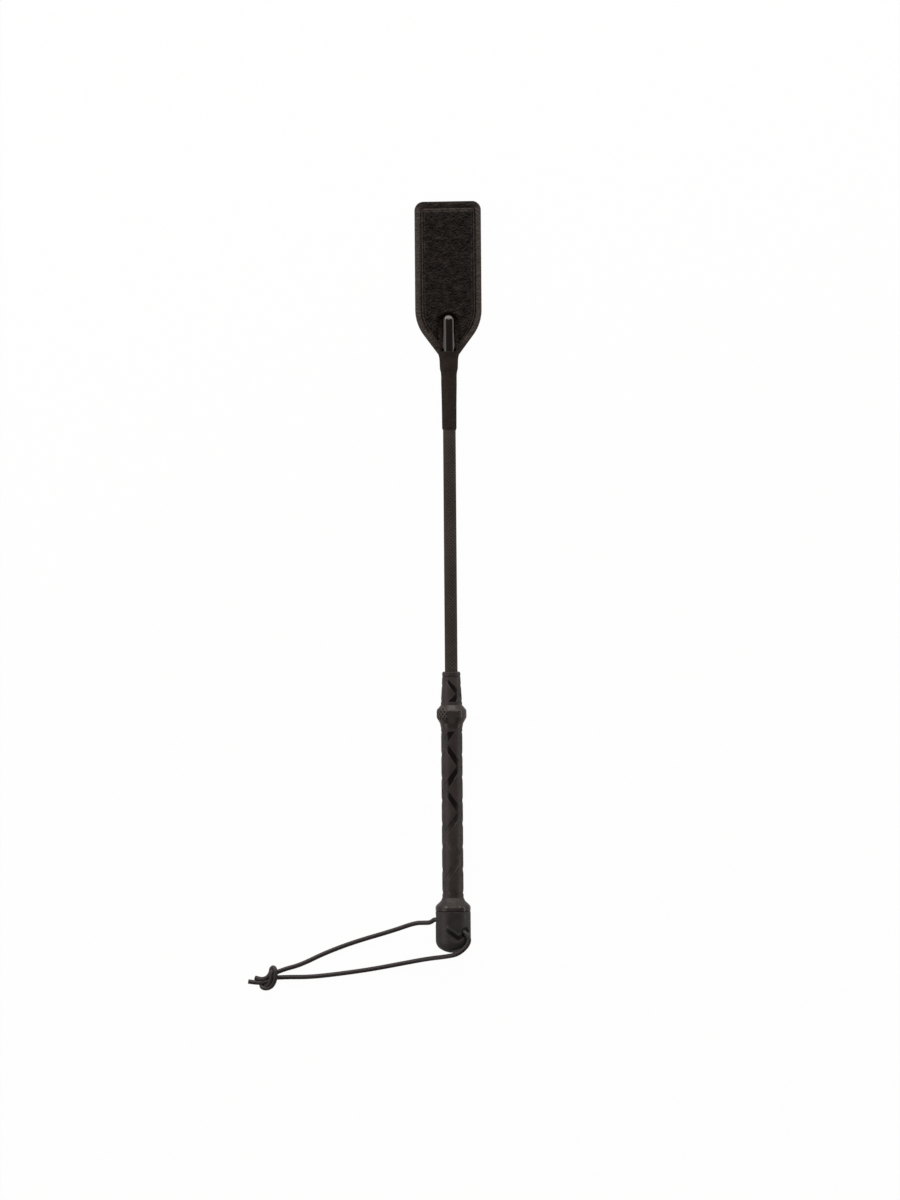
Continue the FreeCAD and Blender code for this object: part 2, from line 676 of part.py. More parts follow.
def wrist_cord_right():
    """The leg that leaves the cap's upper side and goes round its dome."""
    ends = [mouth_place(RIGHT_MOUTH, -BORE_STRETCH), mouth_place(RIGHT_MOUTH, 1.6)]
    return cord_tube(ends + RIGHT_ROUTE).cut(wrist_knot())


def wrist_knot():
    """The outer shape of the knot that joins the two legs."""
    start, end = [V(*place) for place in KNOT_ENDS]
    along = end - start
    profile = rounded_wire([
        (0, 0, 0),
        (KNOT_RADIUS - KNOT_EDGE, 0, 0),
        (KNOT_RADIUS, KNOT_EDGE, 0),
        (KNOT_RADIUS, along.Length - KNOT_EDGE, 0),
        (KNOT_RADIUS - KNOT_EDGE, along.Length, 0),
        (0, along.Length, 0),
    ])
    knot = turned(profile)
    knot.rotate(V(0, 0, 0), V(0, 0, 1), math.degrees(math.atan2(along.y, along.x)) - 90)
    knot.translate(start)
    return knot


def cord_end(places):
    """One of the cord's two cut ends, which lie on the surface."""
    start, end = [V(*place) for place in places]
    return Part.makeCylinder(CORD_RADIUS, start.distanceToPoint(end), start, end - start).cut(wrist_knot())


PIECES = {
    "shaft_rod": lambda: lay_down(shaft_rod()),
    "shaft_cover": lambda: lay_down(shaft_cover()),
    "tip_cap": lambda: lay_down(tip_cap()),
    "neck_binding": lambda: lay_down(neck_binding()),
    "butt_cap": lambda: lay_down(butt_cap()),
    "grip_sleeve": lambda: lay_down(grip_sleeve()),
    "collar_ring": lambda: lay_down(collar_ring()),
    "nose_cone": lambda: lay_down(nose_cone()),
    "front_panel_root": lambda: panel_root(1),
    "back_panel_root": lambda: panel_root(-1),
    "pad_root": pad_root,
    "front_panel": lambda: panel_blade(1),
    "back_panel": lambda: panel_blade(-1),
    "flap_pad": pad_blade,
    "wrist_cord_bore": wrist_cord_bore,
    "wrist_cord_left": wrist_cord_left,
    "wrist_cord_right": wrist_cord_right,
    "wrist_knot": wrist_knot,
    "cord_end_short": lambda: cord_end(SHORT_END),
    "cord_end_long": lambda: cord_end(LONG_END),
}

os.makedirs("parts", exist_ok=True)
for name, make in PIECES.items():
    make().exportStep(f"parts/{name}.step")
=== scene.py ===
import json
import math

import bpy
import numpy as np
from mathutils import Matrix, Vector, noise


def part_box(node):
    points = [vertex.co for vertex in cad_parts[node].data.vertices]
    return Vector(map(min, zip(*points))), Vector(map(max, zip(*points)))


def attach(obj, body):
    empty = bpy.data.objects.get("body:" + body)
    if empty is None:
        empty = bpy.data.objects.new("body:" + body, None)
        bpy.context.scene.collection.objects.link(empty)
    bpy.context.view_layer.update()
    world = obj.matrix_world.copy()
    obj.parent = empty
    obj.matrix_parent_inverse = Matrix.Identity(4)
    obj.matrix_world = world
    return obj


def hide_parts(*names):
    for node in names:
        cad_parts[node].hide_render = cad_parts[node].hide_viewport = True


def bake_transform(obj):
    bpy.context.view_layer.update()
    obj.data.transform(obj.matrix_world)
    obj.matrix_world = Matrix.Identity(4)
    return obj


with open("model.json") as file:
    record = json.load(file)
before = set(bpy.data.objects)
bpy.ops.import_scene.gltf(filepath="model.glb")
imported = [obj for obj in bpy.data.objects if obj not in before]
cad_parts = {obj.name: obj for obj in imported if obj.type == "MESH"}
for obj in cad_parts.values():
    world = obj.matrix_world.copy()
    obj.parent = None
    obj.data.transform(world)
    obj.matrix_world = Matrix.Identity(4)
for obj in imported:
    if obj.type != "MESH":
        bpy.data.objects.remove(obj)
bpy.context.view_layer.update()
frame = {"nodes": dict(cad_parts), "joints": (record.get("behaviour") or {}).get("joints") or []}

# A riding crop lies on a pale floor, head towards +Y and wrist loop towards -X, and is seen from
# straight above. Everything is in metres, in the frame's own axes.

MM = 0.001

# ---- places taken from the frame -----------------------------------------------------------------
binding_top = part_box("neck_binding")[1][1]
flap_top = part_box("front_panel")[1][1] + 1.3 * MM    # the flap's rolled edge swells past the panel
flap_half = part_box("front_panel")[1][0]
seam_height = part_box("front_panel")[0][2]
field_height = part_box("front_panel")[1][2]
bend_at = next(j for j in frame["joints"] if j["name"] == "flap_flex")["pos_m"][1]
neck_low = binding_top - 2.2 * MM
tip_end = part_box("tip_cap")[1][1]
cap_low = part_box("butt_cap")[0][1]
cone_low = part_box("nose_cone")[0][1]

# ---- camera and lights ---------------------------------------------------------------------------
CAMERA_DISTANCE = 2.987
CAMERA_LENS = 120
VIEW_MIDDLE = (-0.0005, -0.01705, 0.010)
VIEW_ROLL = -0.45    # degrees
LAMP_COLOUR = (1.0, 0.945, 0.90)
# soft cards low at both sides, a wide one beyond the head with one over it, and a weak one at the
# foot: name, place, width and height, watts
LAMPS = [
    ("left_card", (-1.5, 0, 0.75), (2.8, 1.1), 13),
    ("right_card", (1.9, 0, 0.25), (2.8, 0.34), 9),
    ("head_card", (0, 1.9, 0.95), (5.0, 1.7), 86),
    ("high_card", (0, 1.15, 1.75), (1.4, 0.8), 4),
    ("foot_card", (0, -2.1, 1.2), (2.0, 0.8), 3),
]
FLOOR_SIZE = 12
FLOOR_COLOUR = (0.8, 0.8, 0.8, 1)
FLOOR_WHITE = 0.975    # how far the camera sees the floor as plain white
SURROUND_COLOUR = (1.0, 0.97, 0.94, 1)
SURROUND_STRENGTH = 0.12

# ---- handle, tip and binding ---------------------------------------------------------------------
CAP_RADIUS = 13.1 * MM
GRIP_RADIUS = 7.95 * MM
CONE_RADIUS = 8.0 * MM     # at its lower end
CONE_FALL = 1.2 / 21.05    # how fast it gets thinner
TIP_RADIUS = 5.04 * MM
TIP_DRAWN = 1.1            # how much longer than a half ball the tip's dome is
# the V-shaped step in the cap's front, across and along
STEP_LINE = [
    (-3.9 * MM, cap_low + 16.8 * MM),
    (3.8 * MM, cap_low + 11.0 * MM),
    (7.7 * MM, cap_low + 13.0 * MM),
]
COVER_THREADS = 12         # of each hand, in the shaft's braid
COVER_PITCH = 2.6 * MM
THREAD_RADIUS = 0.34 * MM
THREAD_PITCH = 0.55 * MM
THREAD_SIDES = 8
TURN_STEPS = 40            # steps in one turn of the thread
FLOOR_ROOM = 0.05 * MM     # what is kept between a soft piece and the floor
# radius of the binding along its length, from its lower end, in millimetres
BINDING_SHAPE = [
    (0.0, 5.15), (1.0, 5.45), (5.0, 5.5), (20.0, 5.62), (27.0, 5.75), (33.0, 5.9), (40.0, 5.92),
    (42.6, 6.1), (43.8, 6.4), (45.6, 6.8), (48.0, 6.9), (52.0, 7.05), (53.6, 7.2), (55.0, 7.5),
    (56.7, 8.0), (58.2, 8.4),
]

# ---- flap ----------------------------------------------------------------------------------------
NECK_ROUND = 6.95 * MM     # leather closed round the tip, where it goes under the binding
NECK_HALF = 7.4 * MM
NECK_CORNER = 0.6 * MM
SHOULDER_TURN = math.radians(36.5)
SHOULDER_ROUND = 32 * MM
CORNER_ROUND = 6.8 * MM
LEAST_ROUND = 0.9 * MM
FAR_EDGE_TURN = math.radians(0.55)    # the far edge is cut out of square
LEATHER = 2.0 * MM
GRAIN_STEP = 0.55 * MM     # spacing of the leather mesh along the flap
HALF_COLUMNS = 36          # its columns each side of the middle
CROWDING = 1.35            # how much closer they lie at the edge
CORNER_STEP = 7.5          # degrees from row to row round the far corners
ROLLED = 1.1 * MM          # width of the leather's rolled edge
EDGE_HEIGHT = 0.7 * MM     # height of the leather at its very edge
ROLL_RISE = LEATHER - 0.6 * MM
MARGIN_SWELL = 0.2 * MM    # the margin's own roundness
SEAM_INSET = 4.7 * MM
FIELD_SHIFT = (0.1 * MM, -0.3 * MM)    # how far the stitched field lies off the flap's middle
GROOVE_DEPTH = 0.8 * MM
GROOVE_HALF = 0.5 * MM
FIELD_FOOT = 0.55 * MM     # from the stitches to the foot of the padded field's slope
FIELD_SLOPE = 2.9 * MM
EASED = 0.35               # share of the slope's rise that starts gently
CROWN_RISE = 0.15 * MM     # the field's further rise towards its middle
CROWN_RUN = (3 * MM, 10 * MM)
PUSHED_RISE = 0.55 * MM    # padding pushed up beside the window
PUSHED_AWAY = 2.6 * MM
PUSHED_HALF = 1.5 * MM
PUSHED_END = (-3 * MM, 5 * MM)     # from the tip's end, where it fades out
LIP_FALL = 1.2 * MM        # leather pressed down at the window's edge
LIP_HALF = 0.5 * MM
WRAP_RUN = (0.5 * MM, 9 * MM)      # above the binding, where the leather opens from round the tip
WRAP_EDGE = 0.5 * MM       # height of the wrapped leather beside the tip
LEAST_HEIGHT = 0.3 * MM
LEAST_THICKNESS = 0.2 * MM
BED_ROOM = 0.1 * MM        # between the tip and the leather round it
WINDOW_HALF = 7.7 * MM
WINDOW_NECK = 5.5 * MM
WINDOW_TAPER = 10 * MM     # length over which the window closes in to the binding
WINDOW_ROOM = 0.8 * MM     # beyond the tip
WINDOW_STEPS = 24
CUT_HEIGHT = 20 * MM       # of the window's cutter, which stands well over the leather
WAVE_HEIGHT = 0.16 * MM    # slow unevenness of the padding
WAVE_SCALE = 60
WAVE_SHOWS = (1.5 * MM, 2.5 * MM)  # distances from the seam over which it comes in
STITCH_PITCH = 2.9 * MM
STITCH_LENGTH = 2.2 * MM
STITCH_RADIUS = 0.5 * MM
STITCH_SIDES = 8
STITCH_LIFT = 0.12 * MM    # its middle over the groove's floor
STITCH_SLANT = 7           # degrees
STITCH_TAPER = 0.16 * MM   # how much smaller its ends are
STITCH_DIP = 0.28 * MM     # and how much lower
STITCH_OUT = 0.15 * MM
STITCHES_START = 6 * MM    # from the binding
BEVEL_HIGHLIGHT_HEIGHT = field_height - seam_height - 0.3 * MM    # height of the padded field's edge, where a painted highlight line runs

# ---- wrist cord ----------------------------------------------------------------------------------
CORD_DIAMETER = 3.2 * MM
CORD_STEP = 0.4 * MM
CORD_SIDES = 32
BRAID_THREADS = 8          # of each hand
BRAID_PITCH = 2.4 * MM
BRAID_SWELL = 0.07 * MM    # what the braid's middle stands over the round cord
BRAID_RELIEF = 0.035 * MM
CORD_ROOM = 0.02 * MM      # what is kept between cord and floor
FLOOR_CORD = 1.62 * MM     # height of a cord's middle where it lies on the floor
LEFT_MOUTH = (-0.01297, -0.25503, 0.01503)
RIGHT_MOUTH = (0.00926, -0.26464, 0.02259)
LEFT_LENGTH = 0.1395
RIGHT_LENGTH = 0.1724
LEFT_ROUTE = [
    (-0.0089, -0.2568, 0.0164),
    (-0.0135, -0.2548, 0.01485),
    (-0.0153, -0.2562, 0.0136),
    (-0.0174, -0.2577, 0.0119),
    (-0.0212, -0.2579, 0.0102),
    (-0.0287, -0.2582, 0.0075),
    (-0.0450, -0.2642, 0.0026),
    (-0.0739, -0.2724, FLOOR_CORD),
    (-0.0965, -0.2807, FLOOR_CORD),
    (-0.1147, -0.2895, FLOOR_CORD),
    (-0.1280, -0.2928, FLOOR_CORD),
    (-0.1345, -0.2957, 0.00165),
]
RIGHT_ROUTE = [
    (0.0052, -0.2629, 0.0212),
    (0.0107, -0.2653, 0.0231),
    (0.0122, -0.2722, 0.0238),
    (0.0042, -0.2802, 0.0246),
    (-0.0056, -0.2826, 0.0190),
    (-0.0189, -0.2849, 0.0080),
    (-0.0369, -0.2886, 0.0022),
    (-0.0608, -0.2930, FLOOR_CORD),
    (-0.0877, -0.2966, FLOOR_CORD),
    (-0.1086, -0.2986, FLOOR_CORD),
    (-0.1242, -0.2984, FLOOR_CORD),
    (-0.1345, -0.2988, 0.00165),
]
KNOT_OUTER = [
    (-0.1319, -0.2947, 0.00170),
    (-0.1367, -0.2966, 0.00165),
    (-0.1416, -0.3001, 0.00165),
    (-0.1440, -0.3030, 0.0019),
    (-0.1437, -0.3057, 0.0030),
    (-0.1412, -0.3066, 0.0042),
    (-0.1382, -0.3061, 0.0056),
    (-0.1358, -0.3044, 0.0070),
    (-0.1340, -0.3014, 0.0079),
    (-0.1332, -0.2979, 0.0081),
    (-0.1331, -0.2944, 0.0080),
    (-0.1334, -0.2919, 0.0072),
    (-0.1347, -0.2906, 0.0060),
    (-0.1362, -0.2915, 0.0049),
    (-0.1367, -0.2944, 0.0048),
    (-0.1379, -0.2970, 0.0048),
    (-0.1406, -0.2992, 0.0045),
    (-0.1439, -0.2998, 0.0034),
    (-0.1465, -0.2993, 0.0023),
    (-0.1486, -0.2987, 0.0017),
]
KNOT_INNER = [
    (-0.1319, -0.2979, 0.00165),
    (-0.1356, -0.2992, 0.00165),
    (-0.1386, -0.3012, 0.00165),
    (-0.1406, -0.3031, 0.0020),
    (-0.1410, -0.3044, 0.0034),
    (-0.1397, -0.3046, 0.0049),
    (-0.1380, -0.3032, 0.0066),
    (-0.1367, -0.3005, 0.0078),
    (-0.1363, -0.2975, 0.0081),
    (-0.1364, -0.2951, 0.0079),
    (-0.1359, -0.2935, 0.0070),
    (-0.1345, -0.2934, 0.0056),
    (-0.1341, -0.2956, 0.00485),
    (-0.1353, -0.2985, 0.0048),
    (-0.1380, -0.3008, 0.0046),
    (-0.1416, -0.3019, 0.0038),
    (-0.1454, -0.3024, 0.0026),
    (-0.1491, -0.3022, 0.0018),
    (-0.1538, -0.3015, 0.0017),
]

# the shaft's axis falls towards the tip, because the cap is thicker; both are (place on Y, height)
shaft_far = Vector((tip_end - TIP_RADIUS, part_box("tip_cap")[0][2] + TIP_RADIUS))
shaft_near = Vector((cap_low + CAP_RADIUS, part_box("butt_cap")[1][2] - CAP_RADIUS))
shaft_slope = (shaft_far.y - shaft_near.y) / (shaft_far.x - shaft_near.x)


def shaft_height(y):
    """Height of the shaft's axis at a place along it."""
    return shaft_near.y + (y - shaft_near.x) * shaft_slope


# ---- camera, floor and lights --------------------------------------------------------------------
def set_camera():
    """A long lens straight above, so that shapes keep their proportions."""
    data = bpy.data.cameras.new("camera")
    data.lens = CAMERA_LENS
    data.clip_end = 20
    camera = bpy.data.objects.new("camera", data)
    bpy.context.scene.collection.objects.link(camera)
    camera.location = Vector(VIEW_MIDDLE) + Vector((0, 0, CAMERA_DISTANCE))
    camera.rotation_euler = (0, 0, math.radians(VIEW_ROLL))
    bpy.context.scene.camera = camera


def add_lamp(name, place, size, power):
    """A soft rectangular studio lamp that faces the middle of the crop."""
    data = bpy.data.lights.new(name, "AREA")
    data.shape = "RECTANGLE"
    data.size, data.size_y = size
    data.energy = power
    data.color = LAMP_COLOUR
    lamp = bpy.data.objects.new(name, data)
    bpy.context.scene.collection.objects.link(lamp)
    lamp.location = place
    facing = Vector((0, 0, 0)) - lamp.location
    lamp.rotation_euler = facing.to_track_quat("-Z", "Y").to_euler()


def camera_only(tree, shader, white_share):
    """Mixes plain white into a shader where the camera looks at it."""
    path = tree.nodes.new("ShaderNodeLightPath")
    white = tree.nodes.new("ShaderNodeEmission")
    share = tree.nodes.new("ShaderNodeMath")
    share.operation = "MULTIPLY"
    share.inputs[1].default_value = white_share
    mix = tree.nodes.new("ShaderNodeMixShader")
    tree.links.new(path.outputs["Is Camera Ray"], share.inputs[0])
    tree.links.new(share.outputs[0], mix.inputs[0])
    tree.links.new(shader.outputs[0], mix.inputs[1])
    tree.links.new(white.outputs[0], mix.inputs[2])
    return mix


def set_floor():
    """A wide pale floor that looks white from the camera and keeps a trace of the shadow."""
    bpy.ops.object.select_all(action="DESELECT")
    bpy.ops.mesh.primitive_plane_add(size=FLOOR_SIZE)
    floor = bpy.context.object
    floor.name = "floor"
    material = bpy.data.materials.new("floor")
    material.use_nodes = True
    tree = material.node_tree
    tree.nodes.clear()
    paint = tree.nodes.new("ShaderNodeBsdfDiffuse")
    paint.inputs["Color"].default_value = FLOOR_COLOUR
    out = tree.nodes.new("ShaderNodeOutputMaterial")
    tree.links.new(camera_only(tree, paint, FLOOR_WHITE).outputs[0], out.inputs["Surface"])
    floor.data.materials.append(material)


def set_world():
    """A dim surround for the lamps to work in, pale where the camera sees it."""
    world = bpy.data.worlds.new("studio")
    bpy.context.scene.world = world
    world.use_nodes = True
    tree = world.node_tree
    tree.nodes.clear()
    surround = tree.nodes.new("ShaderNodeBackground")
    surround.inputs["Color"].default_value = SURROUND_COLOUR
    surround.inputs["Strength"].default_value = SURROUND_STRENGTH
    pale = tree.nodes.new("ShaderNodeBackground")
    path = tree.nodes.new("ShaderNodeLightPath")
    mix = tree.nodes.new("ShaderNodeMixShader")
    out = tree.nodes.new("ShaderNodeOutputWorld")
    tree.links.new(path.outputs["Is Camera Ray"], mix.inputs[0])
    tree.links.new(surround.outputs[0], mix.inputs[1])
    tree.links.new(pale.outputs[0], mix.inputs[2])
    tree.links.new(mix.outputs[0], out.inputs["Surface"])


# ---- materials -----------------------------------------------------------------------------------
class Finish:
    """A material whose nodes are added one at a time, on the piece's Object coordinates."""

    def __init__(self, name, colour, roughness, specular=0.5):
        self.material = bpy.data.materials.new(name)
        self.material.use_nodes = True
        self.tree = self.material.node_tree
        self.shader = self.tree.nodes["Principled BSDF"]
        self.shader.inputs["Base Color"].default_value = (*colour, 1)
        self.shader.inputs["Roughness"].default_value = roughness
        self.shader.inputs["Specular IOR Level"].default_value = specular
        self.place = self.tree.nodes.new("ShaderNodeTexCoord").outputs["Object"]

    def node(self, kind, inputs=(), **settings):
        """A node with its settings, and its inputs from values or other nodes' outputs."""
        node = self.tree.nodes.new("ShaderNode" + kind)
        for key, value in settings.items():
            setattr(node, key, value)
        for key, value in dict(inputs).items():
            if isinstance(value, bpy.types.NodeSocket):
                self.tree.links.new(value, node.inputs[key])
            else:
                node.inputs[key].default_value = value
        return node

    def mapped(self, scale):
        """Object coordinates, scaled."""
        return self.node("Mapping", {"Vector": self.place, "Scale": scale}).outputs[0]

    def noise(self, scale, detail=4.0, where=None):
        """Noise of so many features to the metre."""
        inputs = {"Vector": where or self.place, "Scale": scale, "Detail": detail}
        return self.node("TexNoise", inputs).outputs["Fac"]

    def cells(self, scale, smoothness=None):
        """Distance from the nearest of scattered points, so many to the metre."""
        inputs = {"Vector": self.place, "Scale": scale}
        if smoothness is None:
            return self.node("TexVoronoi", inputs).outputs["Distance"]
        inputs["Smoothness"] = smoothness
        return self.node("TexVoronoi", inputs, feature="SMOOTH_F1").outputs["Distance"]

    def ramp(self, factor, low, high):
        """A factor stretched between two values, as a grey."""
        node = self.node("ValToRGB", {"Fac": factor})
        for stop, place, level in zip(node.color_ramp.elements, (low, high), (0, 1)):
            stop.position = place
            stop.color = (level, level, level, 1)
        return node.outputs["Color"]

    def spread(self, value, low, high, start=0.0, end=1.0):
        """Goes from start to end while a value goes from low to high, and holds beyond them."""
        return self.node("MapRange", {
            "Value": value, "From Min": low, "From Max": high, "To Min": start, "To Max": end,
        }).outputs[0]

    def maths(self, operation, first, *others):
        """One kind of sum on one factor, or on several in their order."""
        for other in others or (0.0,):
            first = self.node("Math", {0: first, 1: other}, operation=operation).outputs[0]
        return first

    def part(self, axis):
        """One of the Object coordinates."""
        return self.node("SeparateXYZ", {"Vector": self.place}).outputs[axis]

    def round_shaft(self):
        """The angle round the shaft's axis, 0 at the front, and the distance from it."""
        rise = self.maths("MULTIPLY", self.part("Y"), shaft_slope)
        axis = self.maths("ADD", rise, shaft_height(0))
        height = self.maths("SUBTRACT", self.part("Z"), axis)
        angle = self.maths("ARCTAN2", self.part("X"), height)
        across = self.node("CombineXYZ", {0: self.part("X"), 1: height})
        away = self.node("VectorMath", {0: across.outputs[0]}, operation="LENGTH").outputs["Value"]
        return angle, away

    def crossing(self, round_it, along, threads, pitch):
        """Threads of both hands that wind round and cross, as a height from 0 to 1."""
        turn = self.maths("MULTIPLY", round_it, threads)
        run = self.maths("MULTIPLY", along, 2 * math.pi / pitch)
        left = self.maths("SINE", self.maths("ADD", turn, run))
        right = self.maths("SINE", self.maths("SUBTRACT", turn, run))
        over = self.maths("MAXIMUM", left, right)
        return self.maths("MULTIPLY", self.maths("ADD", over, 1.0), 0.5)

    def near_line(self, start, end, width):
        """1 on a straight line drawn on the cap's front, falling to 0 at a distance from it."""
        run = Vector(end) - Vector(start)
        length = run.length
        run.normalize()
        x = self.maths("SUBTRACT", self.part("X"), start[0])
        y = self.maths("SUBTRACT", self.part("Y"), start[1])
        ahead = self.maths(
            "ADD", self.maths("MULTIPLY", x, run.x), self.maths("MULTIPLY", y, run.y),
        )
        beside = self.maths(
            "SUBTRACT", self.maths("MULTIPLY", x, run.y), self.maths("MULTIPLY", y, run.x),
        )
        past = self.maths(
            "MAXIMUM", self.maths("SUBTRACT", ahead, length), self.maths("MULTIPLY", ahead, -1.0),
        )
        away = self.maths("MAXIMUM", self.maths("ABSOLUTE", beside), past)
        front = self.maths("GREATER_THAN", self.part("Z"), CAP_RADIUS)
        return self.maths("MULTIPLY", self.spread(away, 0, width, 1, 0), front)

    def colour(self, factor, dark, light):
        """The base colour, from dark to light by a factor."""
        node = self.node("Mix", {0: factor, 6: (*dark, 1), 7: (*light, 1)}, data_type="RGBA")
        self.tree.links.new(node.outputs[2], self.shader.inputs["Base Color"])

    def gloss(self, factor, low, high):
        """The roughness, between two values by a factor."""
        self.tree.links.new(self.spread(factor, 0, 1, low, high), self.shader.inputs["Roughness"])

    def bump(self, height, depth, strength=1.0):
        """Surface relief so many metres deep; each call lies over the last."""
        inputs = {"Height": height, "Distance": depth, "Strength": strength}
        normal = self.shader.inputs["Normal"]
        if normal.is_linked:
            inputs["Normal"] = normal.links[0].from_socket
        node = self.node("Bump", inputs)
        self.tree.links.new(node.outputs[0], normal)


MARGIN_TOP = (2.3 * MM, 3.2 * MM)    # heights over the seam between which margin gives way to field
MARGIN_SHEEN_FADE = (6 * MM, 3.6 * MM)      # distances from the far edge over which the margin's painted sheen fades to painted shade
BEVEL_HIGHLIGHT_HALF = 0.22 * MM


def leather_finish():
    """Pebbled black-brown leather with pits; its rolled margins are nicked and carry a painted sheen
    that fades to painted shade at the far edge, and a painted highlight line runs along the padded
    field's edge.
    """
    finish = Finish("flap_leather", (0.013, 0.0105, 0.0095), 0.5, 0.08)
    stands = finish.maths("ABSOLUTE", finish.maths("SUBTRACT", finish.part("Z"), seam_height))
    margin = finish.spread(stands, *MARGIN_TOP, 1, 0)
    far_start, far_end = (flap_top - reach for reach in MARGIN_SHEEN_FADE)
    sides = finish.spread(finish.part("Y"), far_start, far_end, 0.7, 0.12)
    from_crest = finish.maths("ABSOLUTE", finish.maths("SUBTRACT", stands, BEVEL_HIGHLIGHT_HEIGHT))
    crest_highlight = finish.spread(from_crest, 0, BEVEL_HIGHLIGHT_HALF, 0.5, 0)
    worn = finish.ramp(finish.noise(210, 6), 0.3, 0.75)
    # painted light over the leather's own worn tone: a sheen on the margins, less at the far edge,
    # and a highlight line on the field's edge
    tone = finish.maths(
        "ADD", finish.maths("MULTIPLY", worn, 0.34), finish.maths("MULTIPLY", margin, sides), crest_highlight,
    )
    pits = finish.ramp(finish.cells(450), 0.16, 0.42)
    pits = finish.maths("MAXIMUM", pits, finish.maths("MULTIPLY", margin, 0.8))
    finish.colour(
        finish.maths("MULTIPLY", tone, pits),
        dark=(0.0024, 0.0013, 0.0011), light=(0.066, 0.055, 0.050),
    )
    finish.gloss(finish.ramp(finish.noise(300, 3), 0.3, 0.7), 0.42, 0.6)
    nicks = finish.noise(420, 3, finish.mapped((0.35, 2.2, 1)))
    finish.bump(finish.noise(90, 5), 0.35 * MM, 0.5)
    finish.bump(finish.cells(620, smoothness=0.2), 0.6 * MM, 0.9)
    finish.bump(pits, 0.45 * MM, 1.0)
    finish.bump(finish.maths("MULTIPLY", nicks, margin), 0.35 * MM, 0.8)
    return finish.material


def stitch_finish():
    """Waxed thread, darker than the leather."""
    finish = Finish("stitch_thread", (0.004, 0.003, 0.0028), 0.5, 0.2)
    finish.bump(finish.noise(2500, 2), 0.05 * MM, 0.7)
    return finish.material


def rubber(finish):
    """Moulded rubber's fine grain; gives back its cloudy light and dark."""
    finish.bump(finish.noise(2600, 2), 0.03 * MM, 0.6)
    return finish.ramp(finish.noise(120, 6), 0.3, 0.75)


CHANNEL_SHADE_DEPTHS = (0.05 * MM, 0.22 * MM)    # depths over which a channel gets its painted shade
CHANNEL_SHADE_TURNS = (0.3, 0.8)                # radians from the front over which the painted shade fades out
FLARE_SHINES = (8.6 * MM, 10.5 * MM)      # distances from the axis over which the flare gets glossy
GRIP_SHADE_SPAN = (-0.193, -0.160)           # places on Y: nearer the cap the channels have no painted shade
CONE_SHADE_SPAN = (-1.0, -0.9)                   # and the cone's have it all along


def channelled_finish(name, radius, start, fall, shade_span, flared, smooth):
    """Rubber whose moulded channels are glossy and get painted shade, most at the front; a flare is
    glossy too.

    radius is the surface's at start, and falls along Y; shade_span is the two places on Y between
    which the channels' painted shade comes in.
    """
    finish = Finish(name, (0.02, 0.016, 0.015), 0.42, 0.3)
    tone = rubber(finish)
    angle, away = finish.round_shaft()
    along = finish.part("Y")
    thinner = finish.maths("MULTIPLY", finish.maths("SUBTRACT", along, start), fall)
    depth = finish.maths("SUBTRACT", finish.maths("SUBTRACT", radius, thinner), away)
    # painted shade in the channels: darker where deeper, nearer the front and further from the cap
    shade_and_gloss = finish.maths(
        "MULTIPLY", finish.spread(depth, *CHANNEL_SHADE_DEPTHS), finish.spread(along, *shade_span),
        finish.spread(finish.maths("ABSOLUTE", angle), *CHANNEL_SHADE_TURNS, 1, 0),
    )
    tone = finish.maths("ADD", finish.maths("MULTIPLY", tone, 0.5), 0.5)
    finish.colour(
        finish.maths("SUBTRACT", tone, shade_and_gloss),
        dark=(0.0055, 0.0036, 0.0036), light=(0.039, 0.0315, 0.030),
    )
    if flared:
        shade_and_gloss = finish.maths("MAXIMUM", shade_and_gloss, finish.spread(away, *FLARE_SHINES))
    finish.gloss(shade_and_gloss, 0.46, smooth)
    return finish.material


HATCH_THREADS = 22
HATCH_PITCH = 3.4 * MM
HATCH_ENDS = (-0.5, -0.3)      # radians from the front over which the hatched patch ends
HATCH_STARTS = -1.5
HATCH_BAND = 10.2 * MM         # it lies only on what is wider than this


def collar_finish():
    """The collar's glossier rubber, with a patch of fine crossed ridges left of its front."""
    finish = Finish("collar_rubber", (0.02, 0.016, 0.015), 0.3, 0.3)
    rubber(finish)
    angle, away = finish.round_shaft()
    ridges = finish.crossing(angle, finish.part("Y"), HATCH_THREADS, HATCH_PITCH)
    patch = finish.maths(
        "MULTIPLY", finish.spread(angle, *HATCH_ENDS, 1, 0),
        finish.maths("GREATER_THAN", angle, HATCH_STARTS),
        finish.maths("GREATER_THAN", away, HATCH_BAND),
    )
    hatch = finish.maths("MULTIPLY", finish.maths("SUBTRACT", ridges, 0.82), 6.0)
    finish.gloss(patch, 0.23, 0.75)
    finish.colour(
        finish.maths("ADD", finish.maths("MULTIPLY", hatch, patch), 0.4),
        dark=(0.001, 0.0007, 0.0007), light=(0.085, 0.068, 0.063),
    )
    finish.bump(finish.maths("MULTIPLY", ridges, patch), 0.3 * MM, 0.9)
    return finish.material


# bands along the cap's step, a painted shade and a bumped lip with a painted highlight: how far
# above its line, and how wide
STEP_SHADE = (1.0 * MM, 2.0 * MM)
STEP_LIP_AND_HIGHLIGHT = (3.1 * MM, 1.5 * MM)


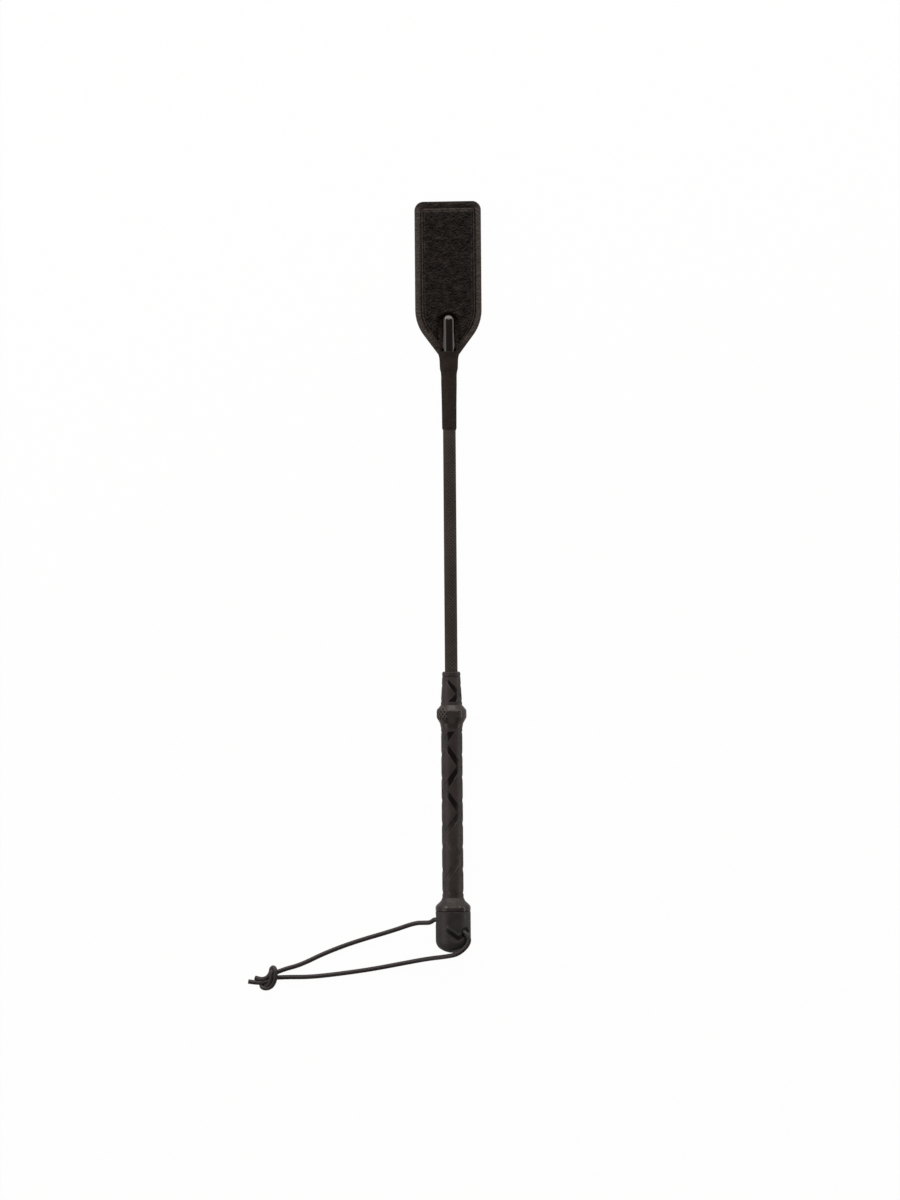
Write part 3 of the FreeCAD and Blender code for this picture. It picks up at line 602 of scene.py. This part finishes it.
def cap_finish():
    """The butt cap's rubber: painted shade along its V-shaped step, and a bumped lip above it with a
    painted highlight.
    """
    finish = Finish("cap_rubber", (0.02, 0.016, 0.015), 0.42, 0.3)
    tone = rubber(finish)
    finish.gloss(finish.ramp(finish.noise(60, 5), 0.3, 0.7), 0.38, 0.52)
    shade_band, lip = (
        finish.maths("MAXIMUM", *(
            finish.near_line((x, y + rise), (far_x, far_y + rise), width)
            for (x, y), (far_x, far_y) in zip(STEP_LINE, STEP_LINE[1:])
        ))
        for rise, width in (STEP_SHADE, STEP_LIP_AND_HIGHLIGHT)
    )
    # the lip's band adds a painted highlight, and the step's band takes away a painted shade
    tone = finish.maths(
        "ADD", finish.maths("MULTIPLY", tone, 0.25), 0.45, finish.maths("MULTIPLY", lip, 0.35),
    )
    finish.colour(
        finish.maths("SUBTRACT", tone, finish.ramp(shade_band, 0.2, 0.7)),
        dark=(0.003, 0.0022, 0.0026), light=(0.042, 0.036, 0.0375),
    )
    finish.bump(lip, 0.3 * MM, 0.8)
    return finish.material


def plastic_finish():
    """Glossy black-brown plastic with faint haze from handling."""
    finish = Finish("tip_gloss", (0.0045, 0.0022, 0.0018), 0.12, 0.8)
    finish.gloss(finish.ramp(finish.noise(350, 4), 0.35, 0.75), 0.06, 0.16)
    return finish.material


def braid_finish():
    """Fine braid: two sets of threads that wind round the shaft and cross."""
    finish = Finish("shaft_braid", (0.03, 0.022, 0.019), 0.62, 0.2)
    weave = finish.crossing(finish.round_shaft()[0], finish.part("Y"), COVER_THREADS, COVER_PITCH)
    patches = finish.ramp(finish.noise(45, 3), 0.35, 0.7)
    patches = finish.maths("ADD", finish.maths("MULTIPLY", patches, 0.35), 0.65)
    finish.colour(
        finish.maths("MULTIPLY", weave, patches),
        dark=(0.010, 0.0074, 0.0061), light=(0.050, 0.038, 0.0325),
    )
    finish.bump(weave, 0.3 * MM, 0.9)
    finish.bump(finish.noise(2400, 3), 0.06 * MM, 0.6)
    return finish.material


def thread_finish():
    """Matt brown thread, its fibres along its turns."""
    finish = Finish("binding_thread", (0.024, 0.016, 0.014), 0.7, 0.15)
    fibres = finish.noise(900, 4, finish.mapped((0.3, 2.5, 0.3)))
    finish.colour(
        finish.ramp(fibres, 0.3, 0.7), dark=(0.012, 0.0078, 0.0067), light=(0.031, 0.021, 0.0182),
    )
    finish.bump(fibres, 0.08 * MM, 0.8)
    return finish.material


def cord_finish():
    """Braided polyester cord; the braid follows the cord by its UV map."""
    finish = Finish("wrist_cord", (0.018, 0.013, 0.012), 0.48, 0.4)
    surface = finish.node("TexCoord").outputs["UV"]
    parts = finish.node("SeparateXYZ", {"Vector": surface})
    round_it = finish.maths("MULTIPLY", parts.outputs["X"], 2 * math.pi)
    weave = finish.crossing(round_it, parts.outputs["Y"], BRAID_THREADS, BRAID_PITCH)
    fleck = finish.maths("MULTIPLY", weave, finish.ramp(finish.noise(400, 3), 0.1, 0.6))
    finish.colour(fleck, dark=(0.013, 0.009, 0.0102), light=(0.030, 0.0215, 0.0242))
    finish.bump(weave, 0.06 * MM, 0.6)
    finish.bump(finish.noise(2200, 3), 0.08 * MM, 0.7)
    return finish.material


def bore_finish():
    """The same cord inside the cap, out of sight."""
    finish = Finish("bore_cord", (0.018, 0.013, 0.012), 0.6, 0.3)
    finish.bump(finish.noise(1500, 3), 0.1 * MM, 0.8)
    return finish.material


def felt_finish():
    """Dark felt, seen only in the window's gap."""
    finish = Finish("flap_felt", (0.008, 0.0065, 0.006), 0.9, 0.2)
    finish.bump(finish.noise(1500, 4), 0.2 * MM, 0.8)
    return finish.material


def rod_finish():
    """Dark fibreglass, hidden under the braid."""
    finish = Finish("rod_fibreglass", (0.03, 0.03, 0.03), 0.5)
    finish.bump(finish.noise(800, 2, finish.mapped((1, 0.05, 1))), 0.03 * MM)
    return finish.material


# ---- modelling helpers ---------------------------------------------------------------------------
def begin(adder, name, **how):
    """Adds a primitive that alone is selected."""
    bpy.ops.object.select_all(action="DESELECT")
    adder(**how)
    piece = bpy.context.object
    piece.name = name
    return piece


def settle(piece, body, slot, material, *nodes):
    """Gives a finished piece its material and its body, if it follows only one, and hides the CAD
    nodes it stands for.
    """
    piece.data.materials.clear()
    piece.data.materials.append(material)
    if body:
        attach(piece, body)
    if nodes:
        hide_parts(*nodes)
    return piece


def shade(piece, angle):
    """Smooth shading, with creases over an angle in degrees."""
    bpy.ops.object.select_all(action="DESELECT")
    piece.select_set(True)
    bpy.context.view_layer.objects.active = piece
    bpy.ops.object.shade_smooth_by_angle(angle=math.radians(angle))


def apply(piece, kind, name, **settings):
    """Adds a modifier and applies it."""
    bpy.ops.object.select_all(action="DESELECT")
    bpy.context.view_layer.objects.active = piece
    piece.select_set(True)
    modifier = piece.modifiers.new(name, kind)
    for key, value in settings.items():
        setattr(modifier, key, value)
    bpy.ops.object.modifier_apply(modifier=name)


def choose(piece, wanted, kind="verts"):
    """In edit mode, selects only the vertices or faces that a test accepts."""
    bpy.ops.mesh.select_mode(type={"verts": "VERT", "faces": "FACE"}[kind])
    bpy.ops.mesh.select_all(action="DESELECT")
    bpy.ops.object.mode_set(mode="OBJECT")
    for part in {"verts": piece.data.vertices, "faces": piece.data.polygons}[kind]:
        part.select = bool(wanted(part))
    bpy.ops.object.mode_set(mode="EDIT")


def face_outwards():
    """In edit mode, turns all of a closed mesh's faces outwards."""
    bpy.ops.mesh.select_all(action="SELECT")
    bpy.ops.mesh.normals_make_consistent(inside=False)


def join(pieces):
    """Makes several pieces one."""
    bpy.ops.object.select_all(action="DESELECT")
    for piece in pieces:
        piece.select_set(True)
    bpy.context.view_layer.objects.active = pieces[0]
    bpy.ops.object.join()
    return bpy.context.object


# ---- wrist cord ----------------------------------------------------------------------------------
def route_line(route):
    """Points along the smooth NURBS line of a route."""
    data = bpy.data.curves.new("route", "CURVE")
    data.dimensions = "3D"
    data.resolution_u = 24
    spline = data.splines.new("NURBS")
    spline.points.add(len(route) - 1)
    for point, place in zip(spline.points, route):
        point.co = (*place, 1)
    spline.order_u = 3
    spline.use_endpoint_u = True
    holder = bpy.data.objects.new("route", data)
    bpy.context.scene.collection.objects.link(holder)
    line = [v.co.copy() for v in bpy.data.meshes.new_from_object(holder).vertices]
    bpy.data.objects.remove(holder)
    return line


def even_line(line, step):
    """The same line with evenly spaced points."""
    reach = [0.0]
    for a, b in zip(line, line[1:]):
        reach.append(reach[-1] + (b - a).length)
    count = max(2, round(reach[-1] / step))
    points, k = [], 0
    for i in range(count + 1):
        want = reach[-1] * i / count
        while k < len(line) - 2 and reach[k + 1] < want:
            k += 1
        share = (want - reach[k]) / (reach[k + 1] - reach[k])
        points.append(line[k].lerp(line[k + 1], share))
    return points


def braided_cord(name, route):
    """A round cord along a route, and its points.

    It is one closed mesh, with a UV map round it and along it in metres.
    """
    points = even_line(route_line(route), CORD_STEP)
    across = (points[1] - points[0]).orthogonal().normalized()
    verts, faces, places = [], [], []
    for i, point in enumerate(points):
        ahead = points[min(i + 1, len(points) - 1)] - points[max(i - 1, 0)]
        ahead.normalize()
        across = (across - ahead * across.dot(ahead)).normalized()
        beside = ahead.cross(across)
        for k in range(CORD_SIDES):
            turn = 2 * math.pi * k / CORD_SIDES
            run = 2 * math.pi * i * CORD_STEP / BRAID_PITCH
            wind = BRAID_THREADS * turn
            ridge = max(math.sin(wind + run), math.sin(wind - run))
            radius = CORD_DIAMETER / 2 + BRAID_SWELL + BRAID_RELIEF * ridge
            skin = point + (across * math.cos(turn) + beside * math.sin(turn)) * radius
            verts.append((skin.x, skin.y, max(skin.z, CORD_ROOM)))
    rings = len(points)
    for i in range(rings - 1):
        for k in range(CORD_SIDES):
            a, b = i * CORD_SIDES + k, i * CORD_SIDES + (k + 1) % CORD_SIDES
            faces.append((a, b, b + CORD_SIDES, a + CORD_SIDES))
            u, v = k / CORD_SIDES, i * CORD_STEP
            over, on = (k + 1) / CORD_SIDES, (i + 1) * CORD_STEP
            places += [(u, v), (over, v), (over, on), (u, on)]
    for ring, way in ((0, 1), (rings - 1, -1)):
        end = [ring * CORD_SIDES + k for k in range(CORD_SIDES)]
        faces.append(tuple(end[::-way]))
        places += [(k / CORD_SIDES, ring * CORD_STEP) for k in range(CORD_SIDES)][::-way]
    mesh = bpy.data.meshes.new(name)
    mesh.from_pydata(verts, [], faces)
    flat = [number for place in places for number in place]
    mesh.uv_layers.new(name="round_and_along").data.foreach_set("uv", flat)
    piece = bpy.data.objects.new(name, mesh)
    bpy.context.scene.collection.objects.link(piece)
    shade(piece, 60)
    return piece, points


def wrist_cord():
    """The loop's two legs, from inside the cap's bore to the knot, and the knot with its tails."""
    finish = cord_finish()
    knot = join([braided_cord("tied_knot", route)[0] for route in (KNOT_OUTER, KNOT_INNER)])
    settle(
        knot, "wrist_loop", "wrist_cord", finish, "wrist_knot", "cord_end_short", "cord_end_long",
    )
    for side, route, mouth, length in (
        ("left", LEFT_ROUTE, LEFT_MOUTH, LEFT_LENGTH),
        ("right", RIGHT_ROUTE, RIGHT_MOUTH, RIGHT_LENGTH),
    ):
        leg, points = braided_cord(f"cord_{side}", route)
        settle(leg, "wrist_loop", "wrist_cord", finish, f"wrist_cord_{side}")


# ---- flap ----------------------------------------------------------------------------------------
def outline(inset=0.0, shift=(0, 0), steps=10):
    """The flap's outline, moved in by a distance: a closed line of points with rounded corners."""
    shoulder = neck_low + (flap_half - NECK_HALF) / math.tan(SHOULDER_TURN)
    right = [
        (NECK_HALF, neck_low, NECK_CORNER), (flap_half, shoulder, SHOULDER_ROUND),
        (flap_half, flap_top, CORNER_ROUND),
    ]
    corners = right + [(-x, y, r) for x, y, r in reversed(right)]
    line = []
    for i, (x, y, radius) in enumerate(corners):
        here = Vector((x, y))
        back = (Vector(corners[i - 1][:2]) - here).normalized()
        on = (Vector(corners[(i + 1) % len(corners)][:2]) - here).normalized()
        half = back.angle(on) / 2
        radius = max(radius - inset, LEAST_ROUND)
        middle = here + (back + on).normalized() * ((inset + radius) / math.sin(half))
        first = Vector((-back.y, back.x)) * radius
        turn = (math.pi - 2 * half) / steps
        for k in range(steps + 1):
            out = Matrix.Rotation(turn * k, 2) @ first
            line.append(middle + out + Vector(shift))
    return line


def window_line():
    """The window round the tip: a round end, and sides that close in to the binding."""
    sides = [(WINDOW_NECK, binding_top), (WINDOW_HALF, binding_top + WINDOW_TAPER)]
    middle = tip_end + WINDOW_ROOM - WINDOW_HALF
    turns = [math.pi * k / WINDOW_STEPS for k in range(WINDOW_STEPS + 1)]
    arc = [(WINDOW_HALF * math.cos(t), middle + WINDOW_HALF * math.sin(t)) for t in turns]
    return [Vector(p) for p in sides + arc + [(-x, y) for x, y in reversed(sides)]]


def distance_to(line, x, y, closed=True):
    """Distance of many points from a line of points."""
    ends = line[1:] + line[:1] if closed else line[1:]
    best = np.full(x.shape, 1.0)
    for a, b in zip(line, ends):
        run = b - a
        if run.length < 1e-7:
            continue
        share = np.clip(((x - a.x) * run.x + (y - a.y) * run.y) / run.length_squared, 0, 1)
        best = np.minimum(best, np.hypot(x - a.x - share * run.x, y - a.y - share * run.y))
    return best


def step(value, low, high):
    """A smooth step from 0 to 1 between two values."""
    share = np.clip((value - low) / (high - low), 0, 1)
    return share * share * (3 - 2 * share)


def hump(value, middle, half):
    """1 at a value, falling away smoothly at both sides."""
    return np.exp(-(((value - middle) / half) ** 2))


def axis_over_seam(y, front):
    """How far the tip's axis lies on a leather's own side of the seam."""
    axis = shaft_height(y) - seam_height
    return axis if front else -axis


def leather_height(x, y, front):
    """How far a flap leather stands from the seam between the two, all over."""
    edge = distance_to(outline(), x, y)
    seam = distance_to(outline(shift=FIELD_SHIFT), x, y) - SEAM_INSET
    rolled = np.clip(edge / ROLLED, 0, 1)
    height = EDGE_HEIGHT + ROLL_RISE * np.sqrt(1 - (1 - rolled) ** 2)
    margin = np.clip(edge / (SEAM_INSET - GROOVE_HALF), 0, 1)
    height += MARGIN_SWELL * np.sin(math.pi * margin)
    height -= GROOVE_DEPTH * hump(seam, 0, GROOVE_HALF)
    slope = np.clip((seam - FIELD_FOOT) / FIELD_SLOPE, 0, 1)
    raised = field_height - seam_height - LEATHER
    height += raised * (EASED * step(slope, 0, 1) + (1 - EASED) * np.sin(slope * math.pi / 2))
    height += CROWN_RISE * step(seam, *CROWN_RUN)
    if front:
        lip = distance_to(window_line(), x, y, closed=False)
        beside = 1 - step(y, tip_end + PUSHED_END[0], tip_end + PUSHED_END[1])
        height += PUSHED_RISE * hump(lip, PUSHED_AWAY, PUSHED_HALF) * beside
        height -= LIP_FALL * hump(lip, 0, LIP_HALF)
    closing = 1 - step(y, binding_top + WRAP_RUN[0], binding_top + WRAP_RUN[1])
    round_tip = np.sqrt(np.maximum(NECK_ROUND**2 - x**2, 0)) + axis_over_seam(y, front)
    wrapped = np.maximum(np.where(np.abs(x) < NECK_ROUND, round_tip, 0), WRAP_EDGE)
    return np.maximum(height * (1 - closing) + wrapped * closing, LEAST_HEIGHT)


def leather_back(x, y, front):
    """How far a leather's inner face stands from the seam: nothing, but for the tip's bed."""
    bed = TIP_RADIUS + BED_ROOM
    away = np.hypot(x, np.maximum(y - tip_end + TIP_RADIUS, 0))
    rise = np.sqrt(np.maximum(bed**2 - away**2, 0)) + axis_over_seam(y, front)
    return np.where(away < bed, np.maximum(rise, 0), 0)


def flap_half_at(y):
    """Half the flap's width at a place along it."""
    line = [p for p in outline(steps=40) if p.x > 0]
    line.sort(key=lambda p: p.y)
    return np.interp(y, [p.y for p in line], [p.x for p in line])


def set_back(x, y):
    """How far a place on the flap moves towards the binding, to put its far edge out of square."""
    return (flap_half - x) * math.tan(FAR_EDGE_TURN) * step(y, bend_at, flap_top)


def leather(name, front):
    """One leather of the flap, as a closed piece on the seam plane, with its stitched relief."""
    high = flap_top - CORNER_ROUND
    rows = list(np.arange(neck_low, high, GRAIN_STEP))
    corner_turns = np.arange(0, 90.1, CORNER_STEP)
    rows += [high + CORNER_ROUND * math.sin(math.radians(turn)) for turn in corner_turns]
    half = [1 - (1 - k / HALF_COLUMNS) ** CROWDING for k in range(HALF_COLUMNS + 1)]
    columns = [-place for place in reversed(half)] + half[1:]
    piece = begin(
        bpy.ops.mesh.primitive_grid_add, name, size=2,
        x_subdivisions=len(columns) - 1, y_subdivisions=len(rows) - 1,
    )
    bpy.ops.object.mode_set(mode="EDIT")
    bpy.ops.mesh.select_all(action="SELECT")
    bpy.ops.mesh.extrude_region_move(TRANSFORM_OT_translate={"value": (0, 0, 1)})
    bpy.ops.object.mode_set(mode="OBJECT")
    places = np.empty(3 * len(piece.data.vertices))
    piece.data.vertices.foreach_get("co", places)
    places = places.reshape(-1, 3)
    column = np.rint((places[:, 0] + 1) / 2 * (len(columns) - 1)).astype(int)
    row = np.rint((places[:, 1] + 1) / 2 * (len(rows) - 1)).astype(int)
    y = np.array(rows)[row]
    x = np.array(columns)[column] * flap_half_at(y)
    outer = leather_height(x, y, front)
    wave = np.array([noise.noise(Vector((a, b, front)) * WAVE_SCALE) for a, b in zip(x, y)])
    outer += WAVE_HEIGHT * wave * step(outer, *WAVE_SHOWS)
    if not front:
        outer = np.minimum(outer, seam_height - FLOOR_ROOM)
    inner = np.minimum(leather_back(x, y, front), outer - LEAST_THICKNESS)
    if front:
        inner = np.where(y < binding_top, inner, 0)
    side = 1 if front else -1
    places[:, 0] = x
    places[:, 1] = y - set_back(x, y)
    places[:, 2] = seam_height + side * np.where(places[:, 2] > 0.5, outer, inner)
    piece.data.vertices.foreach_set("co", places.ravel())
    piece.data.update()
    bpy.ops.object.mode_set(mode="EDIT")
    face_outwards()
    bpy.ops.object.mode_set(mode="OBJECT")
    return piece


def cut_window(piece, floor):
    """Cuts the window round the tip into a leather, down to a height."""
    line = window_line()
    cutter = begin(
        bpy.ops.mesh.primitive_circle_add, "cutter", radius=1, vertices=len(line), fill_type="NGON",
    )
    for vertex, place in zip(cutter.data.vertices, line):
        vertex.co = (place.x, place.y, floor)
    bpy.ops.object.mode_set(mode="EDIT")
    bpy.ops.mesh.select_all(action="SELECT")
    bpy.ops.mesh.extrude_region_move(TRANSFORM_OT_translate={"value": (0, 0, CUT_HEIGHT)})
    face_outwards()
    bpy.ops.object.mode_set(mode="OBJECT")
    apply(piece, "BOOLEAN", "window", operation="DIFFERENCE", object=cutter, solver="EXACT")
    bpy.data.objects.remove(cutter)


def one_stitch():
    """A short stitch of thick thread, drawn along Y, whose ends dip into the leather."""
    piece = begin(
        bpy.ops.mesh.primitive_cylinder_add, "stitch",
        radius=STITCH_RADIUS, depth=STITCH_LENGTH, vertices=STITCH_SIDES,
    )
    bpy.ops.object.mode_set(mode="EDIT")
    bpy.ops.transform.rotate(value=math.pi / 2, orient_axis="X", center_override=(0, 0, 0))
    for side in (-1, 1):
        choose(piece, lambda f: f.normal.y * side > 0.9, "faces")
        bpy.ops.mesh.inset(thickness=STITCH_TAPER)
        bpy.ops.transform.translate(value=(0, side * STITCH_OUT, -STITCH_DIP))
    bpy.ops.object.mode_set(mode="OBJECT")
    return piece


def stitches(name, front):
    """The row of stitches in the groove, all in one piece, open at the binding."""
    start = binding_top + STITCHES_START
    line = [p for p in outline(SEAM_INSET, FIELD_SHIFT, 8) if p.y > start]
    line.sort(key=lambda p: math.atan2(p.x, p.y - bend_at) % (2 * math.pi))
    pairs = enumerate(zip(line, line[1:]))
    cut = next(i for i, (a, b) in pairs if a.x > 0 > b.x and a.y < bend_at)
    line = line[cut + 1:] + line[:cut + 1]
    points = even_line([Vector((p.x, p.y, 0)) for p in line], STITCH_PITCH)
    slant = Matrix.Rotation(math.radians(STITCH_SLANT), 4, "Z")
    first = one_stitch()
    copies = []
    for a, b in zip(points, points[1:]):
        here, along = (a + b) / 2, (b - a).normalized()
        x, y = np.array([here.x]), np.array([here.y])
        high = float(leather_height(x, y, front)[0]) + STITCH_LIFT
        height = seam_height + (high if front else -high)
        stitch = bpy.data.objects.new(name, first.data.copy())
        bpy.context.scene.collection.objects.link(stitch)
        turn = Matrix.Rotation(math.atan2(-along.x, along.y), 4, "Z") @ slant
        if not front:
            turn = turn @ Matrix.Rotation(math.pi, 4, "Y")
        place = (here.x, here.y - float(set_back(x, y)[0]), height)
        stitch.data.transform(Matrix.Translation(place) @ turn)
        copies.append(stitch)
    bpy.data.objects.remove(first)
    return join(copies)


def bend_with_flap(piece):
    """Bakes a piece's placing into its mesh."""
    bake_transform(piece)


def flap():
    """The padded leather flap: two stitched leathers, front and back."""
    hide, thread = leather_finish(), stitch_finish()
    for side, front in (("front", True), ("back", False)):
        piece = leather(f"flap_{side}", front)
        if front:
            cut_window(piece, seam_height - MM)
        shade(piece, 50)
        settle(piece, None, "flap_leather", hide, f"{side}_panel", f"{side}_panel_root")
        bend_with_flap(piece)
        row = stitches(f"stitches_{side}", front)
        shade(row, 60)
        settle(row, None, "flap_leather", thread)
        bend_with_flap(row)


# ---- tip, binding and handle ---------------------------------------------------------------------
def lay_on_shaft(piece):
    """Moves a piece made round the Y axis on to the shaft's own axis."""
    tilt = Matrix.Rotation(math.atan(shaft_slope), 4, "X")
    piece.data.transform(Matrix.Translation((0, 0, shaft_height(0))) @ tilt)


def tip_plug():
    """The round-ended plastic tip: half a ball, drawn down into a plug."""
    piece = begin(
        bpy.ops.mesh.primitive_uv_sphere_add, "tip_plug",
        radius=TIP_RADIUS, segments=64, ring_count=32,
    )
    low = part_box("tip_cap")[0][1]
    bpy.ops.object.mode_set(mode="EDIT")
    bpy.ops.mesh.select_all(action="SELECT")
    bpy.ops.transform.rotate(value=math.pi / 2, orient_axis="X", center_override=(0, 0, 0))
    bpy.ops.mesh.bisect(plane_co=(0, 0, 0), plane_no=(0, 1, 0), clear_inner=True)
    choose(piece, lambda v: abs(v.co.y) < 1e-6)
    for reach, size in ((tip_end - TIP_RADIUS - low - MM, 1.0), (MM, 0.9)):
        bpy.ops.mesh.extrude_region_move(TRANSFORM_OT_translate={"value": (0, -reach, 0)})
        bpy.ops.transform.resize(value=(size, 1, size))
    bpy.ops.mesh.edge_face_add()
    choose(piece, lambda v: v.co.y > 1e-6)
    bpy.ops.transform.resize(value=(1, TIP_DRAWN, 1), center_override=(0, 0, 0))
    face_outwards()
    bpy.ops.transform.translate(value=(0, tip_end - TIP_RADIUS, 0))
    bpy.ops.object.mode_set(mode="OBJECT")
    lay_on_shaft(piece)
    shade(piece, 40)
    return settle(piece, "shaft", "tip_gloss", plastic_finish(), "tip_cap")


def binding():
    """Thread wound side by side over the flap's roots, wider where it holds the leather."""
    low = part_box("neck_binding")[0][1] + 0.3 * MM
    turns = int((binding_top - low) / THREAD_PITCH)
    start = BINDING_SHAPE[0][1] * MM
    piece = begin(
        bpy.ops.mesh.primitive_circle_add, "thread_binding",
        radius=THREAD_RADIUS, vertices=THREAD_SIDES, location=(start, low, 0),
    )
    bpy.ops.object.transform_apply(location=True, rotation=True, scale=True)
    apply(
        piece, "SCREW", "winding", axis="Y", angle=2 * math.pi, screw_offset=THREAD_PITCH,
        iterations=turns, steps=TURN_STEPS, render_steps=TURN_STEPS,
    )
    bpy.ops.object.mode_set(mode="EDIT")
    bpy.ops.mesh.select_all(action="SELECT")
    bpy.ops.mesh.fill_holes(sides=THREAD_SIDES)
    face_outwards()
    bpy.ops.object.mode_set(mode="OBJECT")
    along, wide = [p[0] * MM for p in BINDING_SHAPE], [p[1] * MM for p in BINDING_SHAPE]
    for vertex in piece.data.vertices:
        away = math.hypot(vertex.co.x, vertex.co.z)
        wider = float(np.interp(vertex.co.y - low, along, wide)) - THREAD_RADIUS - start
        grow = (wider + away) / away
        vertex.co.x *= grow
        vertex.co.z *= grow
    lay_on_shaft(piece)
    for vertex in piece.data.vertices:
        vertex.co.z = max(vertex.co.z, FLOOR_ROOM)
    shade(piece, 60)
    return settle(piece, "shaft", "binding_thread", thread_finish(), "neck_binding")


def dress(material, *nodes):
    """Gives CAD nodes whose shape is right their finish."""
    for name in nodes:
        node = frame["nodes"][name]
        node.data.materials.clear()
        node.data.materials.append(material)


set_camera()
wrist_cord()
set_floor()
set_world()
for lamp in LAMPS:
    add_lamp(*lamp)
flap()
tip_plug()
binding()
grip_rubber = channelled_finish(
    "grip_rubber", GRIP_RADIUS, start=0, fall=0, shade_span=GRIP_SHADE_SPAN, flared=True, smooth=0.18,
)
cone_rubber = channelled_finish(
    "cone_rubber", CONE_RADIUS, start=cone_low, fall=CONE_FALL, shade_span=CONE_SHADE_SPAN, flared=False,
    smooth=0.2,
)
dress(grip_rubber, "grip_sleeve")
dress(cone_rubber, "nose_cone")
dress(collar_finish(), "collar_ring")
dress(cap_finish(), "butt_cap")
dress(braid_finish(), "shaft_cover")
dress(felt_finish(), "pad_root", "flap_pad")
dress(rod_finish(), "shaft_rod")
dress(bore_finish(), "wrist_cord_bore")

bpy.context.scene.view_settings.view_transform = "Standard"
